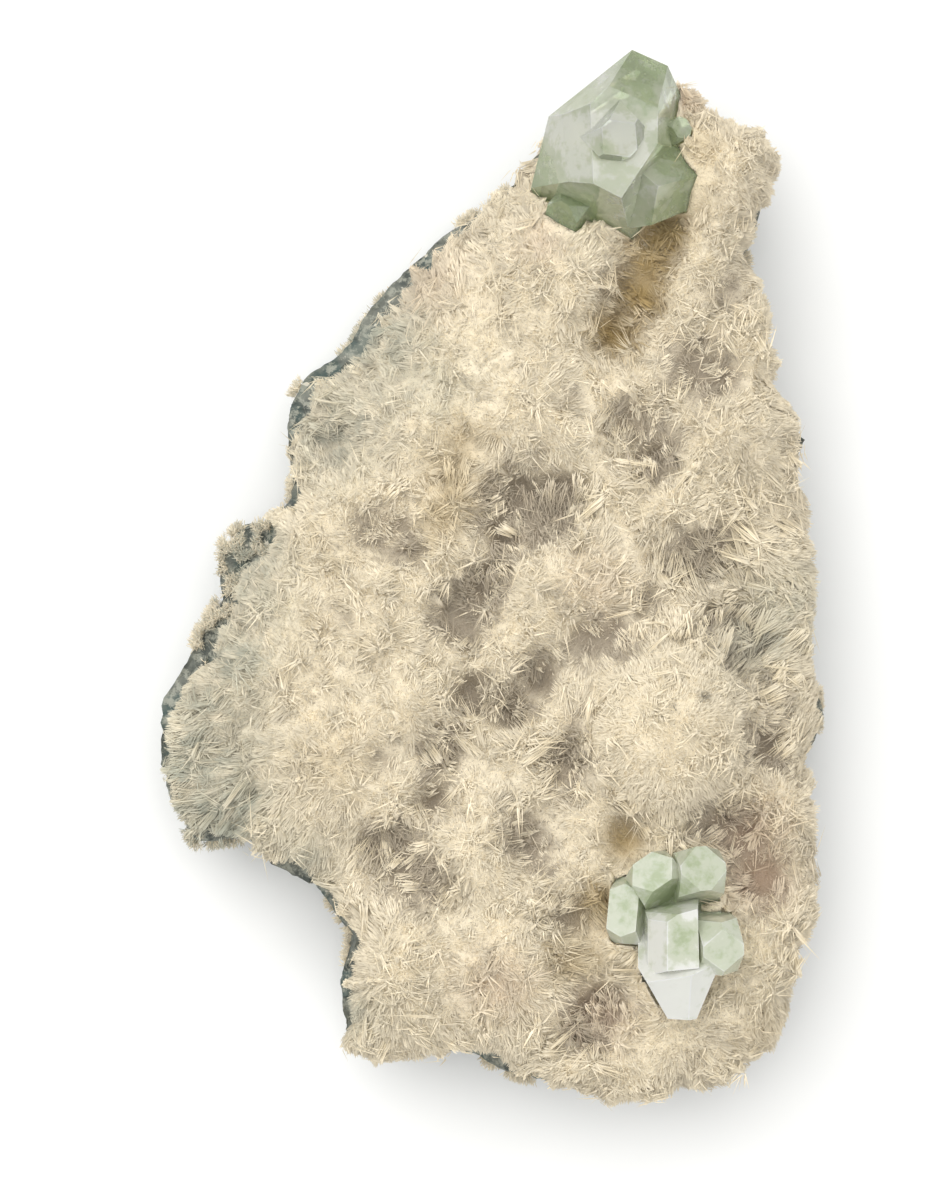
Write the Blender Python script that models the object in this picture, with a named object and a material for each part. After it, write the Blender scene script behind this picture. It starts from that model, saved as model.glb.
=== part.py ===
"""Hand specimen of apophyllite on scolecite.

A slab of basalt carries a thick crust of radiating scolecite needles, and two clusters of pale
green apophyllite crystals grow out of that crust.

Frame: metres, +Z up. The specimen lies on its flat basalt back and its crystal face looks up. The
origin is on the plane that it rests on, under the middle of the whole specimen, and +Y is the end
with the large crystals. Lengths in the tables are millimetres.
"""

import math
import random

import bmesh
import bpy
from mathutils import Matrix, Vector, noise
from mathutils.geometry import delaunay_2d_cdt

MM = 0.001
SEED = 11

# Driving dimensions, in millimetres
CRUST_GRID = 2.7  # spacing of the crust's surface points
UNDER_GRID = 8.0  # spacing of the points on the crust's underside and the rock's upper side
ROCK_GRID = 3.4  # spacing of the points round the rock
ROCK_LUMP = 13.0  # size of the lumps on its broken sides
FRACTURES = 19  # flat breaks round the rock's side
FRACTURE_TILTS = (-48, -6)  # in degrees: how far each looks down
FRACTURE_DEPTHS = (0.5, 5.0)  # how deep each cuts
FOOT_SHARE = 0.93  # size of the flat base, as a share of the evened outline
FOOT_ROUNDS = 14  # how far that outline is evened
CONTACT_LEVEL = 18.0  # mean height of the rock's upper side
CONTACT_GAP = 0.4  # between the rock and the crust
POCKET_GAP = 0.35  # between a crystal and the crust that holds it
RIM_RISE = 3.2  # from the contact up to the widest part of the crust
RIM_OVERHANG = 1.4  # how far the crust's lip reaches past its own foot
BROW = 1.0  # from the rim in to the top of the crust's side
RAGGED = 0.7  # how far the rim's points stray
SHOULDER = 9.0  # width of the rounding from the crust's rim to its upper face
TUFT_RADII = (3.4, 5.6)  # smallest and largest filling tuft
TUFT_RISE = 0.58  # height of a filling tuft over the crust's mean level, as a share of its radius
TUFT_SPACING = 0.62  # nearest that two tufts stand, as a share of their radii together
TUFT_THROWS = 6000
TUFT_ROOT = 0.7  # depth of a tuft's root under its foot, as a share of its radius
HOLLOW_DEPTH = 7.0  # of the deepest hollow between the sprays
SPIKE_HEIGHT = 2.6  # height of the coarse needle bundles
SPIKE_SHARE = 0.13  # share of the crust's faces that carry one
BLOCK_SIZE = 80.0  # of the block that a crystal is cut from
PYRAMID_TILT = math.radians(60.4)  # from the c-axis to the normal of apophyllite's pyramid face

# The crust's edge, seen from above, clockwise from beside the large crystals
CRUST_EDGE = (
    (7.5, 74), (11.5, 77.5), (18.5, 80.5), (25, 83), (30.5, 85.5), (35.5, 85.5), (36.5, 83),
    (41, 79.5), (46, 78.5), (49, 74), (50.5, 71.5), (48.5, 68.5), (48.5, 65), (46, 63), (45, 58.5),
    (44, 56), (46.5, 52), (48.5, 46.5), (48, 42), (50, 38), (48.5, 34.5), (51.5, 31), (54.5, 25.5),
    (53.5, 22), (54, 17), (55, 12.5), (55, 8), (56, 2.5), (55.5, -9.5), (56.5, -18), (57, -22.5),
    (56, -27.5), (54.5, -30), (56, -36.5), (57, -53.5), (55.5, -59), (53.5, -62.5), (53.5, -65.5),
    (51.5, -71.5), (52, -74), (49, -79), (42, -85), (38, -87.5), (33.5, -87), (27, -89), (20, -89.5),
    (14, -87.5), (6.5, -84), (-2, -80.5), (-7, -80), (-12, -81.5), (-20.5, -83), (-24.5, -81),
    (-25, -77.5), (-24.5, -72), (-25, -68), (-22.5, -60.5), (-25, -56.5), (-28.5, -52.5),
    (-35.5, -47.5), (-39, -48), (-41.5, -44.5), (-45, -43), (-51.5, -43.5), (-54.5, -39.5),
    (-56.5, -32), (-55, -21), (-52, -15.5), (-48, -12.5), (-47, -9), (-45, -4.5), (-42.5, 2.5),
    (-38.5, 6.5), (-37.5, 10), (-38.5, 13), (-33.5, 13.5), (-33.5, 17), (-35, 20), (-34.5, 24.5),
    (-31, 33.5), (-23, 39.5), (-19.5, 44), (-16, 50), (-7, 59.5), (1.5, 67.5),
)

# The rock's upper edge. It shows past the crust along the left side and a little at the foot
ROCK_EDGE = (
    (9, 75), (18.5, 79.5), (31, 83), (36, 81), (40.5, 77.5), (45.5, 76), (47.5, 70), (46, 62),
    (43.5, 56.5), (46, 50), (46.5, 43), (48, 36), (50.5, 29), (54.5, 25), (53, 19), (53.5, 7.5),
    (54.5, -8), (56, -18), (57.5, -22.5), (56, -27), (53.5, -31), (55.5, -48.5), (54.5, -56.5),
    (51.5, -66), (49.5, -76), (42, -83), (35, -85.5), (20, -87.5), (6, -85), (-2, -81.5),
    (-12, -80.5), (-19.5, -81.5), (-25.5, -78), (-26, -69), (-24, -60.5), (-30.5, -52),
    (-38, -48.5), (-42.5, -44), (-51, -44.5), (-56, -37), (-57.5, -28), (-56.5, -19.5),
    (-51.5, -11), (-47, -2.5), (-47, 6), (-43.5, 10), (-38, 11), (-34.5, 15), (-35.5, 22),
    (-35, 30.5), (-32.5, 35.5), (-24, 42), (-21, 48), (-12, 57.5), (-0.5, 66),
)

# The rock's side, from its upper edge down to its base: the share of the way in to the base, the
# height as a share of the rock's, and how broken the side is there
ROCK_COURSES = ((0, 1, 0), (0.05, 0.8, 0.8), (0.18, 0.5, 1.6), (0.5, 0.22, 1.5), (1, 0, 0))

# Height of the crust's broad form over the resting plane: x, y, height
CRUST_LEVELS = (
    (41, 73, 41), (34, 83, 33), (20, 76, 29), (8, 67, 26), (16, 62, 29), (12, 51, 42), (27, 58, 31),
    (22, 44, 32), (35, 54, 37), (44, 48, 32), (1, 60, 34), (-7, 43, 39), (-17, 48, 24),
    (-26, 33, 23), (-31, 24, 24), (-15, 28, 39), (-26, 14, 36), (-35, 11, 31), (7, 31, 41),
    (27, 31, 36), (44, 31, 34), (51, 22, 27), (-9, 14, 38), (8, 11, 35), (35, 4, 35), (51, -3, 30),
    (12, -3, 37), (22, -11, 36), (30, -25, 38), (51, -23, 30), (1, -18, 34), (-15, -9, 37),
    (-33, -10, 35), (-44, -18, 30), (-53, -28, 24), (-49, -40, 23), (-39, -45, 23), (-27, -33, 36),
    (-31, -47, 28), (-10, -33, 34), (-2, -45, 37), (-15, -50, 34), (12, -37, 35), (-15, -67, 36),
    (-23, -77, 27), (1, -64, 36), (12, -76, 33), (32, -60, 32), (33, -81, 30), (45, -64, 32),
    (45, -47, 31), (53, -47, 28), (45, -77, 28),
)
LEVEL_REACH = 6.5  # how far each height above spreads

# Named sprays of needles: x, y, radius, rise
SPRAYS = (
    (30.5, -24.5, 14.5, 10.5),  # the great rosette
    (11.5, 51, 12.5, 4.5),  # lobe that overhangs the stained cleft
    (41, 74, 9.5, 4.0),  # knob beside the large crystals
    (33, 83.5, 4.5, 3.0),
    (11.5, 4, 9.0, 5.0),  # fan that opens towards the large crystals
    (2.5, -13, 6.0, 5.0),  # comb that points down
    (11.5, -23, 6.5, 4.5),
    (-12, -21, 7.5, 4.0),
    (-9.5, 5.5, 3.2, 4.0),  # small knob in a hollow
    (-8, 42, 8.5, 3.5),
    (-16, 27, 8.0, 3.5),
    (-24, 13.5, 7.5, 3.5),
    (6.5, 31, 8.0, 3.0),
    (24.5, 33, 5.5, 3.0),
    (36, 56, 7.0, 3.0),
    (45, 40, 5.0, 2.5),
    (-3, -44, 8.0, 4.0),
    (-27, -30, 8.5, 3.5),
    (-16, -66, 9.0, 3.5),
    (4, -63, 7.5, 3.0),
    (47, -64, 8.0, 3.0),
    (31, -77, 6.5, 2.5),
    (-36, -13, 8.0, 3.0),
    (51, -38, 6.0, 2.5),
)

# Hollows between the sprays: x, y, reach, and depth as a share of the deepest
HOLLOWS = (
    (28, 58.5, 4.5, 1.0), (24, 50, 5, 1.0), (20.5, 43, 4, 0.85), (40, 49, 4.5, 0.6),
    (34, 36.5, 5.5, 0.75), (39, 34.5, 4, 0.65), (23.5, 28, 5, 0.7), (30.5, 24.5, 4, 0.6),
    (13.5, 31, 3, 0.5), (27.5, 21, 4, 0.7), (8, 22.5, 2.5, 0.5), (-27.5, 24.5, 5, 0.4),
    (4, 15, 4.5, 0.9), (9.5, 11.5, 5, 0.85), (13, 15.5, 4, 0.5), (2.5, 6.5, 4, 0.6),
    (14.5, 5, 3, 0.5), (-19.5, 10, 6, 0.7), (-14, 6, 4, 0.6), (39.5, 6, 4, 0.8),
    (34, 5, 4.5, 0.7), (42.5, 9.5, 3, 0.5), (-1, 0, 4, 0.85), (-5.5, -5.5, 5.5, 0.85),
    (27, -2.5, 3, 0.5), (39.5, -5.5, 3.5, 0.6), (16, -9.5, 4.5, 0.6), (21.5, -8.5, 3.5, 0.6),
    (45.5, -9.5, 3, 0.5), (42, -14, 3, 0.5), (47.5, -16.5, 2.5, 0.5), (-25.5, -5.5, 3.5, 0.4),
    (-42, -7, 3, 0.5), (8, -15, 4, 0.95), (-3.5, -18.5, 3.5, 0.95), (3.5, -21.5, 3.5, 0.95),
    (13.5, -22.5, 3, 0.55), (-8, -27.5, 4.5, 0.9), (12, -29.5, 4, 0.9), (46.5, -27, 3.5, 0.6),
    (-32.5, -31.5, 4, 0.4), (-18.5, -30.5, 4, 0.45), (-9.5, -36.5, 3.5, 0.8),
    (5, -42.5, 4.5, 0.7), (8, -46, 4, 0.6), (-19, -44.5, 4.5, 0.8), (-13.5, -47, 5, 0.75),
    (-9.5, -52, 4.5, 0.6), (-17, -53.5, 4, 0.4), (22.5, -43, 2.5, 0.8), (41.5, -42.5, 5, 0.85),
    (47, -50.5, 5, 0.8), (13.5, -56.5, 3.5, 0.9), (11.5, -64.5, 3, 0.55), (-23.5, -68.5, 2.5, 0.5),
    (18.5, -72, 5, 0.8), (15, -76.5, 4.5, 0.7),
)

# The large cluster's main crystal: three corners (x, y, z) of each of its faces
LARGE_BODY = (
    ("roof", (23.6, 89.8, 37), (29.6, 87.1, 37), (27.7, 79.5, 43)),
    ("upper left", (23.6, 89.8, 37), (9.6, 78.8, 35), (19.6, 83.2, 43)),
    ("front", (19.6, 83.2, 43), (27.7, 79.5, 43), (16.9, 66.6, 45.5)),
    ("left", (16.2, 79.5, 43.5), (16.9, 66.6, 45.5), (12.8, 67.3, 41)),
    ("lower left", (10.2, 78.8, 36), (5.8, 63.6, 29), (12.8, 67.3, 41)),
    ("foot", (16.9, 66.6, 45.5), (12.8, 67.3, 41), (20.3, 60.5, 32)),
    ("right", (29.6, 87.1, 37), (27.7, 79.5, 43), (30.5, 74, 36)),
    ("lower right", (24, 68, 45), (29, 72, 38), (24, 60.5, 33)),
    ("under the roof", (23.6, 89.8, 37), (29.6, 87.1, 37), (25, 83, 25)),
    ("under the left", (23.6, 89.8, 37), (9.6, 78.8, 35), (14, 77, 24)),
    ("side", (9.6, 78.8, 35), (5.8, 63.6, 29), (11, 70, 22)),
    ("base", (10, 60, 24.5), (30, 60, 24.5), (20, 80, 24.5)),
)

# The large cluster's lower right crystal, in the same way
LARGE_WING = (
    ("face", (24.3, 69.3, 42.5), (27.7, 66.3, 43.5), (34.2, 71, 37)),
    ("band", (24.3, 69.3, 42.5), (27.7, 66.3, 43.5), (25, 61.5, 37)),
    ("lower band", (27.7, 66.3, 43.5), (33.8, 67.6, 38.5), (31, 62.6, 36)),
    ("edge", (25, 60.8, 33), (31, 62.2, 35), (26, 62.5, 27)),
    ("right", (34.6, 71, 35.5), (34.2, 67.6, 37), (32.5, 68, 26)),
    ("back", (24.5, 74, 40), (33.5, 73.5, 35), (26, 73, 27)),
    ("base", (10, 60, 25.5), (30, 60, 25.5), (20, 80, 25.5)),
    ("root", (20.5, 60, 30), (20.5, 75, 30), (20.5, 65, 40)),
)

# The small cluster's clear front crystal and the pearly one below it, in the same way
SMALL_MIDDLE = (
    ("front", (29.2, -55.6, 44.5), (34.6, -54.6, 43.2), (29.2, -64.3, 44.2)),
    ("left", (29.2, -55.6, 44.5), (26.3, -56.2, 40.5), (29.2, -64.3, 44.2)),
    ("top", (29.2, -55.6, 44.5), (34.6, -54.2, 43.2), (29.6, -54.4, 38)),
    ("top left", (29.2, -56.4, 44.5), (27.2, -56.4, 42), (29.2, -55, 41.5)),
    ("right", (34.4, -55, 43), (34.6, -64, 43), (35, -60, 36)),
    ("foot", (29.2, -64.6, 44.2), (34.6, -64.2, 43), (30, -66, 36)),
    ("outer", (26.1, -56.5, 40), (26.1, -63.5, 40), (25.6, -60, 34)),
    ("base", (24, -60, 29), (34, -60, 29), (30, -70, 29)),
)
SMALL_PEARLY = (
    ("face", (25.9, -66.6, 42.8), (33.8, -65.4, 43.6), (31.2, -73, 38.5)),
    ("upper band", (24.9, -64.9, 40.6), (33.6, -63.7, 41.6), (33.8, -65.4, 43.6)),
    ("left", (25.9, -66.6, 42.8), (24.9, -65, 40.6), (29.2, -72.4, 38.4)),
    ("outer left", (24.7, -65, 39.6), (26, -69.4, 37.6), (26.5, -67, 33)),
    ("right", (34, -65, 43.4), (36.6, -66.8, 40.4), (34.2, -72.6, 38)),
    ("outer right", (36.8, -66.6, 39.6), (34.4, -72.8, 37), (35, -67, 32)),
    ("tip", (29, -72.8, 38), (34.4, -73.2, 37.8), (31.5, -71, 31)),
    ("base", (24, -60, 31), (34, -60, 31), (30, -70, 31)),
)

# Smaller crystals, each a tetragonal prism closed by pyramid faces: centre x, y, z, the azimuth and
# elevation of its long axis, its turn about that axis, half width, half depth, half length, and
# the share of each end that its pyramid faces cut away
LARGE_CLUSTER = (
    ("front", (20.3, 75.4, 41.6), (300, 74), 14, 3.5, 4.5, 6.2, 0.50),
    ("small", (29.9, 75.8, 34.5), (20, 60), 12, 1.7, 1.9, 4.4, 0.30),
    ("foot", (14.6, 63.6, 31.0), (215, 40), 30, 3.4, 3.2, 4.6, 0.35),
)
SMALL_CLUSTER = (
    ("back left", (28.0, -50.6, 34.0), (115, 66), 10, 3.0, 4.2, 6.4, 0.36),
    ("back right", (34.4, -49.4, 34.5), (60, 72), 35, 3.8, 3.9, 6.6, 0.40),
    ("outer left", (23.9, -55.2, 32.0), (170, 70), 5, 2.6, 5.6, 5.6, 0.34),
    ("barrel", (37.3, -60.4, 36.0), (330, 78), 32, 3.5, 4.5, 7.6, 0.50),
)

STONE = {
    "basalt": ((0.105, 0.122, 0.110), 0.85),
    "scolecite": ((0.760, 0.680, 0.520), 0.70),
    "apophyllite": ((0.560, 0.660, 0.500), 0.12),
}


def material(name):
    colour, roughness = STONE[name]
    made = bpy.data.materials.new(name)
    made.use_nodes = True
    shader = made.node_tree.nodes["Principled BSDF"]
    shader.inputs["Base Color"].default_value = (*colour, 1.0)
    shader.inputs["Roughness"].default_value = roughness
    shader.inputs["Metallic"].default_value = 0.0
    return made


def new_object(name, shape):
    """An object of a shape in millimetres, with its faces pointing out."""
    bmesh.ops.scale(shape, vec=(MM, MM, MM), verts=shape.verts)
    bmesh.ops.recalc_face_normals(shape, faces=shape.faces)
    mesh = bpy.data.meshes.new(name)
    shape.to_mesh(mesh)
    shape.free()
    thing = bpy.data.objects.new(name, mesh)
    bpy.context.scene.collection.objects.link(thing)
    return thing


# Plane geometry of the outlines


def walk(edge, spacing):
    """Points along a closed outline, evenly spread on each of its stretches."""
    points = []
    for start, end in zip(edge, edge[1:] + edge[:1]):
        start, end = Vector(start), Vector(end)
        steps = max(1, round((end - start).length / spacing))
        points += [start.lerp(end, k / steps) for k in range(steps)]
    return points


def depth_inside(x, y, loop):
    """Distance from a point to the nearest side of a loop: positive inside it, negative outside."""
    best, inside = 1e9, False
    point = Vector((x, y))
    for a, b in zip(loop, loop[1:] + loop[:1]):
        side = b - a
        share = max(0.0, min(1.0, (point - a).dot(side) / side.length_squared))
        best = min(best, (a + side * share - point).length)
        if (a.y > y) != (b.y > y) and x < a.x + (y - a.y) * (b.x - a.x) / (b.y - a.y):
            inside = not inside
    return best if inside else -best


def inner_points(loop, spacing, dice):
    """A jittered honeycomb of points inside a loop, clear of its sides."""
    low_x, high_x = min(p.x for p in loop), max(p.x for p in loop)
    low_y, high_y = min(p.y for p in loop), max(p.y for p in loop)
    row_height = spacing * math.sqrt(3) / 2
    found = []
    for row in range(int((high_y - low_y) / row_height) + 1):
        for column in range(int((high_x - low_x) / spacing) + 1):
            x = low_x + (column + row % 2 / 2) * spacing + dice.uniform(-0.22, 0.22) * spacing
            y = low_y + row * row_height + dice.uniform(-0.22, 0.22) * spacing
            if depth_inside(x, y, loop) > 0.6 * spacing:
                found.append(Vector((x, y)))
    return found


def triangles_in(loop, inner):
    """Triangles over a loop's points, which come first, and the points inside it."""
    count = len(loop)
    sides = [(k, (k + 1) % count) for k in range(count)]
    made = delaunay_2d_cdt(loop + inner, sides, [], 1, 1e-4)
    assert len(made[0]) == count + len(inner)
    return [tuple(face) for face in made[2]]


def offset(loop, distance):
    """The loop moved inwards, each point along the bisector of its two sides."""
    clockwise = sum(a.x * b.y - b.x * a.y for a, b in zip(loop, loop[1:] + loop[:1])) < 0
    moved = []
    for before, point, after in zip(loop[-1:] + loop[:-1], loop, loop[1:] + loop[:1]):
        along = (after - before).normalized()
        inwards = Vector((along.y, -along.x)) if clockwise else Vector((-along.y, along.x))
        moved.append(point + inwards * distance)
    return moved


def relaxed(loop, rounds):
    """The loop with its bays and points evened out."""
    for _ in range(rounds):
        loop = [
            (before + point * 2 + after) / 4
            for before, point, after in zip(loop[-1:] + loop[:-1], loop, loop[1:] + loop[:1])
        ]
    return loop


def rough(x, y, z, size):
    """Smooth noise from -1 to 1 whose lumps are about `size` millimetres."""
    return noise.noise(Vector((x, y, z)) / size)


def slab(rings, top_inner, top_height, foot_inner, foot_height):
    """A closed slab. Its sides join the rings of (x, y, z), from the upper edge down, and its two
    faces run over points inside the first and the last ring, at heights that functions give."""
    count = len(rings[0])
    points = [tuple(p) for ring in rings for p in ring]
    top_loop = [Vector(p[:2]) for p in rings[0]]
    foot_loop = [Vector(p[:2]) for p in rings[-1]]
    faces = []
    for level in range(len(rings) - 1):
        for k in range(count):
            after = (k + 1) % count
            a, b = level * count + k, level * count + after
            faces.append((a, b, b + count, a + count))
    for loop, inner, height, first in (
        (top_loop, top_inner, top_height, 0),
        (foot_loop, foot_inner, foot_height, (len(rings) - 1) * count),
    ):
        start = len(points)
        points += [(p.x, p.y, height(p.x, p.y)) for p in inner]
        for face in triangles_in(loop, inner):
            faces.append(tuple(first + k if k < count else start + k - count for k in face))
    shape = bmesh.new()
    verts = [shape.verts.new(p) for p in points]
    for face in faces:
        shape.faces.new([verts[k] for k in face])
    bmesh.ops.recalc_face_normals(shape, faces=shape.faces)
    return shape


# Basalt


def contact(x, y):
    """Height of the rock's upper side, a slow swell that the crust grew on."""
    swell = 1.5 * math.sin(x / 19 + 0.7) + 1.2 * math.cos(y / 23 + 0.3)
    return CONTACT_LEVEL + swell - 0.03 * x


def bare_rock(x, y, crust_loop):
    """Height of the rock's upper side, broken away in steps where no crust covers it."""
    past = max(0.0, min(1.0, 0.4 - depth_inside(x, y, crust_loop) / 2.5))
    return contact(x, y) - past * (1.6 + 2.6 * abs(rough(x, y, 4, 4.5)))


def fractures(edge, dice):
    """Planes that broke the rock's side off, each an outward normal and its reach."""
    planes = []
    for k in range(FRACTURES):
        around = 2 * math.pi * (k + dice.random()) / FRACTURES
        tilt = math.radians(dice.uniform(*FRACTURE_TILTS))
        flat = math.cos(tilt)
        normal = Vector((math.cos(around) * flat, math.sin(around) * flat, math.sin(tilt)))
        reach = max(normal.dot((p.x, p.y, CONTACT_LEVEL / 2)) for p in edge)
        planes.append((normal, reach - dice.uniform(*FRACTURE_DEPTHS)))
    return planes


def broken_back(point, planes):
    """A point of the rock's side, moved in level to whichever fracture it lies past."""
    for normal, reach in planes:
        past = normal.dot(point) - reach
        if past > 0:
            level = Vector((normal.x, normal.y, 0))
            point = point - level * past / level.length_squared
    return point


def basalt_matrix(crust_loop):
    dice = random.Random(SEED)
    edge = walk(ROCK_EDGE, ROCK_GRID)
    planes = fractures(edge, dice)
    foot = [p * FOOT_SHARE for p in relaxed(edge, FOOT_ROUNDS)]
    rings = []
    for inwards, level, broken in ROCK_COURSES:
        ring = []
        for near, far in zip(edge, foot):
            lump = rough(near.x, near.y, level * CONTACT_LEVEL, ROCK_LUMP)
            chip = broken * (2.4 * lump + dice.uniform(-0.5, 0.3))
            slant = 1 + 0.5 * broken * rough(near.x, near.y, 50, 2 * ROCK_LUMP)
            place = near.lerp(far, inwards * slant) + (near - far).normalized() * chip
            height = level * (1 + 0.15 * broken * rough(near.y, near.x, 7, ROCK_LUMP))
            point = Vector((place.x, place.y, height * bare_rock(near.x, near.y, crust_loop)))
            ring.append(point if level == 1 else broken_back(point, planes))
        rings.append(ring)
    shape = slab(
        rings,
        inner_points(edge, UNDER_GRID, dice),
        lambda x, y: bare_rock(x, y, crust_loop),
        [],
        lambda x, y: 0.0,
    )
    rock = new_object("basalt_matrix", shape)
    rock.data.materials.append(material("basalt"))


# Scolecite


def crust_level(x, y):
    """The crust's broad form: each height of the table, weighted by how near it is."""
    total = weight = 0.0
    for px, py, height in CRUST_LEVELS:
        near = math.exp(-((x - px) ** 2 + (y - py) ** 2) / (2 * LEVEL_REACH**2)) + 1e-9
        total += near * height
        weight += near
    return total / weight


def tufts(crust_loop, dice):
    """The named sprays, and filling tufts thrown where there is room between them."""
    placed = list(SPRAYS)
    reach_x = max(abs(p.x) for p in crust_loop)
    reach_y = max(abs(p.y) for p in crust_loop)
    for _ in range(TUFT_THROWS):
        x, y = dice.uniform(-reach_x, reach_x), dice.uniform(-reach_y, reach_y)
        radius = dice.uniform(*TUFT_RADII)
        if depth_inside(x, y, crust_loop) < RIM_OVERHANG:
            continue
        if all(math.dist((x, y), (px, py)) > TUFT_SPACING * (radius + r) for px, py, r, _ in placed):
            placed.append((x, y, radius, TUFT_RISE * radius))
    return placed


def tuft_at(x, y, placed):
    """The rise of the highest tuft over a point, and that tuft."""
    best, owner = 0.0, None
    for tuft in placed:
        share = math.dist((x, y), tuft[:2]) / tuft[2]
        if share < 1 and tuft[3] * math.sqrt(1 - share**2) > best:
            best, owner = tuft[3] * math.sqrt(1 - share**2), tuft
    return best, owner


def hollow_at(x, y):
    """Depth of the hollows at a point. Where they overlap, it never passes the deepest."""
    left = 1.0
    for px, py, reach, share in HOLLOWS:
        left *= 1 - share * math.exp(-((math.dist((x, y), (px, py)) / reach) ** 2))
    return HOLLOW_DEPTH * (1 - left)


def crust_top(x, y, crust_loop, placed):
    """Height of the crust's needle tips, rounded down towards its rim."""
    rim = contact(x, y) + RIM_RISE
    inwards = max(0.0, min(1.0, depth_inside(x, y, crust_loop) / SHOULDER))
    rounded = math.sqrt(1 - (1 - inwards) ** 2)
    level = crust_level(x, y) + tuft_at(x, y, placed)[0] - hollow_at(x, y)
    level += 0.7 * rough(x, y, 2, 2.8)
    return rim + max(1.0, level - rim) * rounded


def raise_spikes(shape, placed, dice):
    """Draws coarse bundles of needles out of the crust's faces, away from each tuft's root."""
    chosen = []
    for face in shape.faces:
        centre = face.calc_center_median()
        if centre.z < contact(centre.x, centre.y) + 1.2 * RIM_RISE or dice.random() > SPIKE_SHARE:
            continue
        rise, owner = tuft_at(centre.x, centre.y, placed)
        away = face.normal.copy()
        if owner:
            root = Vector((owner[0], owner[1], centre.z - rise - TUFT_ROOT * owner[2]))
            away = ((centre - root).normalized() + face.normal * 0.8).normalized()
        chosen.append((face, away * dice.uniform(0.5, 1.0) * SPIKE_HEIGHT))
    poked = bmesh.ops.poke(shape, faces=[face for face, _ in chosen])
    for vert, (_, away) in zip(poked["verts"], chosen):
        vert.co += away


def scolecite_crust(crust_loop):
    dice = random.Random(SEED + 1)
    placed = tufts(crust_loop, dice)
    brow = offset(crust_loop, BROW)
    rim = [p + Vector((dice.uniform(-1, 1), dice.uniform(-1, 1))) * RAGGED for p in crust_loop]
    foot = offset(crust_loop, RIM_OVERHANG)
    rings = (
        [(p.x, p.y, crust_top(p.x, p.y, crust_loop, placed)) for p in brow],
        [(p.x, p.y, contact(p.x, p.y) + RIM_RISE + dice.uniform(-1, 1.4)) for p in rim],
        [(p.x, p.y, contact(p.x, p.y) + CONTACT_GAP) for p in foot],
    )
    shape = slab(
        rings,
        inner_points(brow, CRUST_GRID, dice),
        lambda x, y: crust_top(x, y, crust_loop, placed),
        inner_points(foot, UNDER_GRID, dice),
        lambda x, y: contact(x, y) + CONTACT_GAP,
    )
    raise_spikes(shape, placed, dice)
    crust = new_object("scolecite_crust", shape)
    crust.data.materials.append(material("scolecite"))
    return crust


# Apophyllite


def cut_from_block(name, centre, planes, grow):
    """What is left of a block when planes, each a point and an outward normal, cut it."""
    shape = bmesh.new()
    bmesh.ops.create_cube(shape, size=BLOCK_SIZE, matrix=Matrix.Translation(centre))
    for point, normal in planes:
        cut = bmesh.ops.bisect_plane(
            shape,
            geom=shape.verts[:] + shape.edges[:] + shape.faces[:],
            plane_co=point + normal * grow,
            plane_no=normal,
            clear_outer=True,
        )
        rim = [part for part in cut["geom_cut"] if isinstance(part, bmesh.types.BMEdge)]
        if rim:
            bmesh.ops.contextual_create(shape, geom=rim)
    return new_object(name, shape)


def faceted(name, faces, grow=0.0):
    """A crystal from three corners of each of its faces."""
    corners = [Vector(corner) for _, *face in faces for corner in face]
    centre = sum(corners, Vector()) / len(corners)
    planes = []
    for _, *face in faces:
        first, second, third = (Vector(corner) for corner in face)
        normal = (second - first).cross(third - first).normalized()
        planes.append((first, normal if normal.dot(first - centre) > 0 else -normal))
    return cut_from_block(name, centre, planes, grow)


def tetragonal(name, centre, points_to, turn, half_width, half_depth, half_length, ends_cut, grow=0.0):
    """A prism whose pyramid faces cut its corners: with a share of 1 they meet in a point."""
    azimuth, elevation = (math.radians(angle) for angle in points_to)
    turned = (
        Matrix.Rotation(azimuth, 3, "Z")
        @ Matrix.Rotation(math.pi / 2 - elevation, 3, "Y")
        @ Matrix.Rotation(math.radians(turn), 3, "Z")
    )
    centre = Vector(centre)
    corner = math.hypot(half_width, half_depth)
    tilt_out, tilt_up = math.sin(PYRAMID_TILT), math.cos(PYRAMID_TILT)
    pyramid_reach = corner * tilt_out * (1 - ends_cut) + half_length * tilt_up
    planes = []
    for end in (1, -1):
        planes.append((Vector((end, 0, 0)), half_width))
        planes.append((Vector((0, end, 0)), half_depth))
        planes.append((Vector((0, 0, end)), half_length))
        for side_x, side_y in ((1, 1), (-1, 1), (-1, -1), (1, -1)):
            out = Vector((side_x * half_width, side_y * half_depth, 0)) / corner
            planes.append((out * tilt_out + Vector((0, 0, end * tilt_up)), pyramid_reach))
    planes = [(centre + turned @ (normal * reach), turned @ normal) for normal, reach in planes]
    return cut_from_block(name, centre, planes, grow)


def helper(thing):
    thing.hide_render = True
    thing.display_type = "WIRE"
    return thing


def combine(thing, other, operation):
    step = thing.modifiers.new(f"{operation.lower()} {other.name}", "BOOLEAN")
    step.operation = operation
    step.object = other


def crystals_of(name, bodies, crystals, grow=0.0):
    """The crystals of one cluster, every face moved out by `grow`."""
    made = [faceted(f"{name}_{label}", faces, grow) for label, faces in bodies]
    made += [tetragonal(f"{name}_{label.replace(' ', '_')}", *shape, grow) for label, *shape in crystals]
    return made


def cluster(name, bodies, crystals, crust, finish):
    """Crystals that grew through one another, joined in one solid, and their pocket in the crust."""
    whole, *others = crystals_of(name, bodies, crystals)
    whole.name = whole.data.name = name
    whole.data.materials.append(finish)
    for other in others:
        combine(whole, helper(other), "UNION")
    for room in crystals_of(f"{name}_pocket", bodies, crystals, POCKET_GAP):
        combine(crust, helper(room), "DIFFERENCE")


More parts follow.
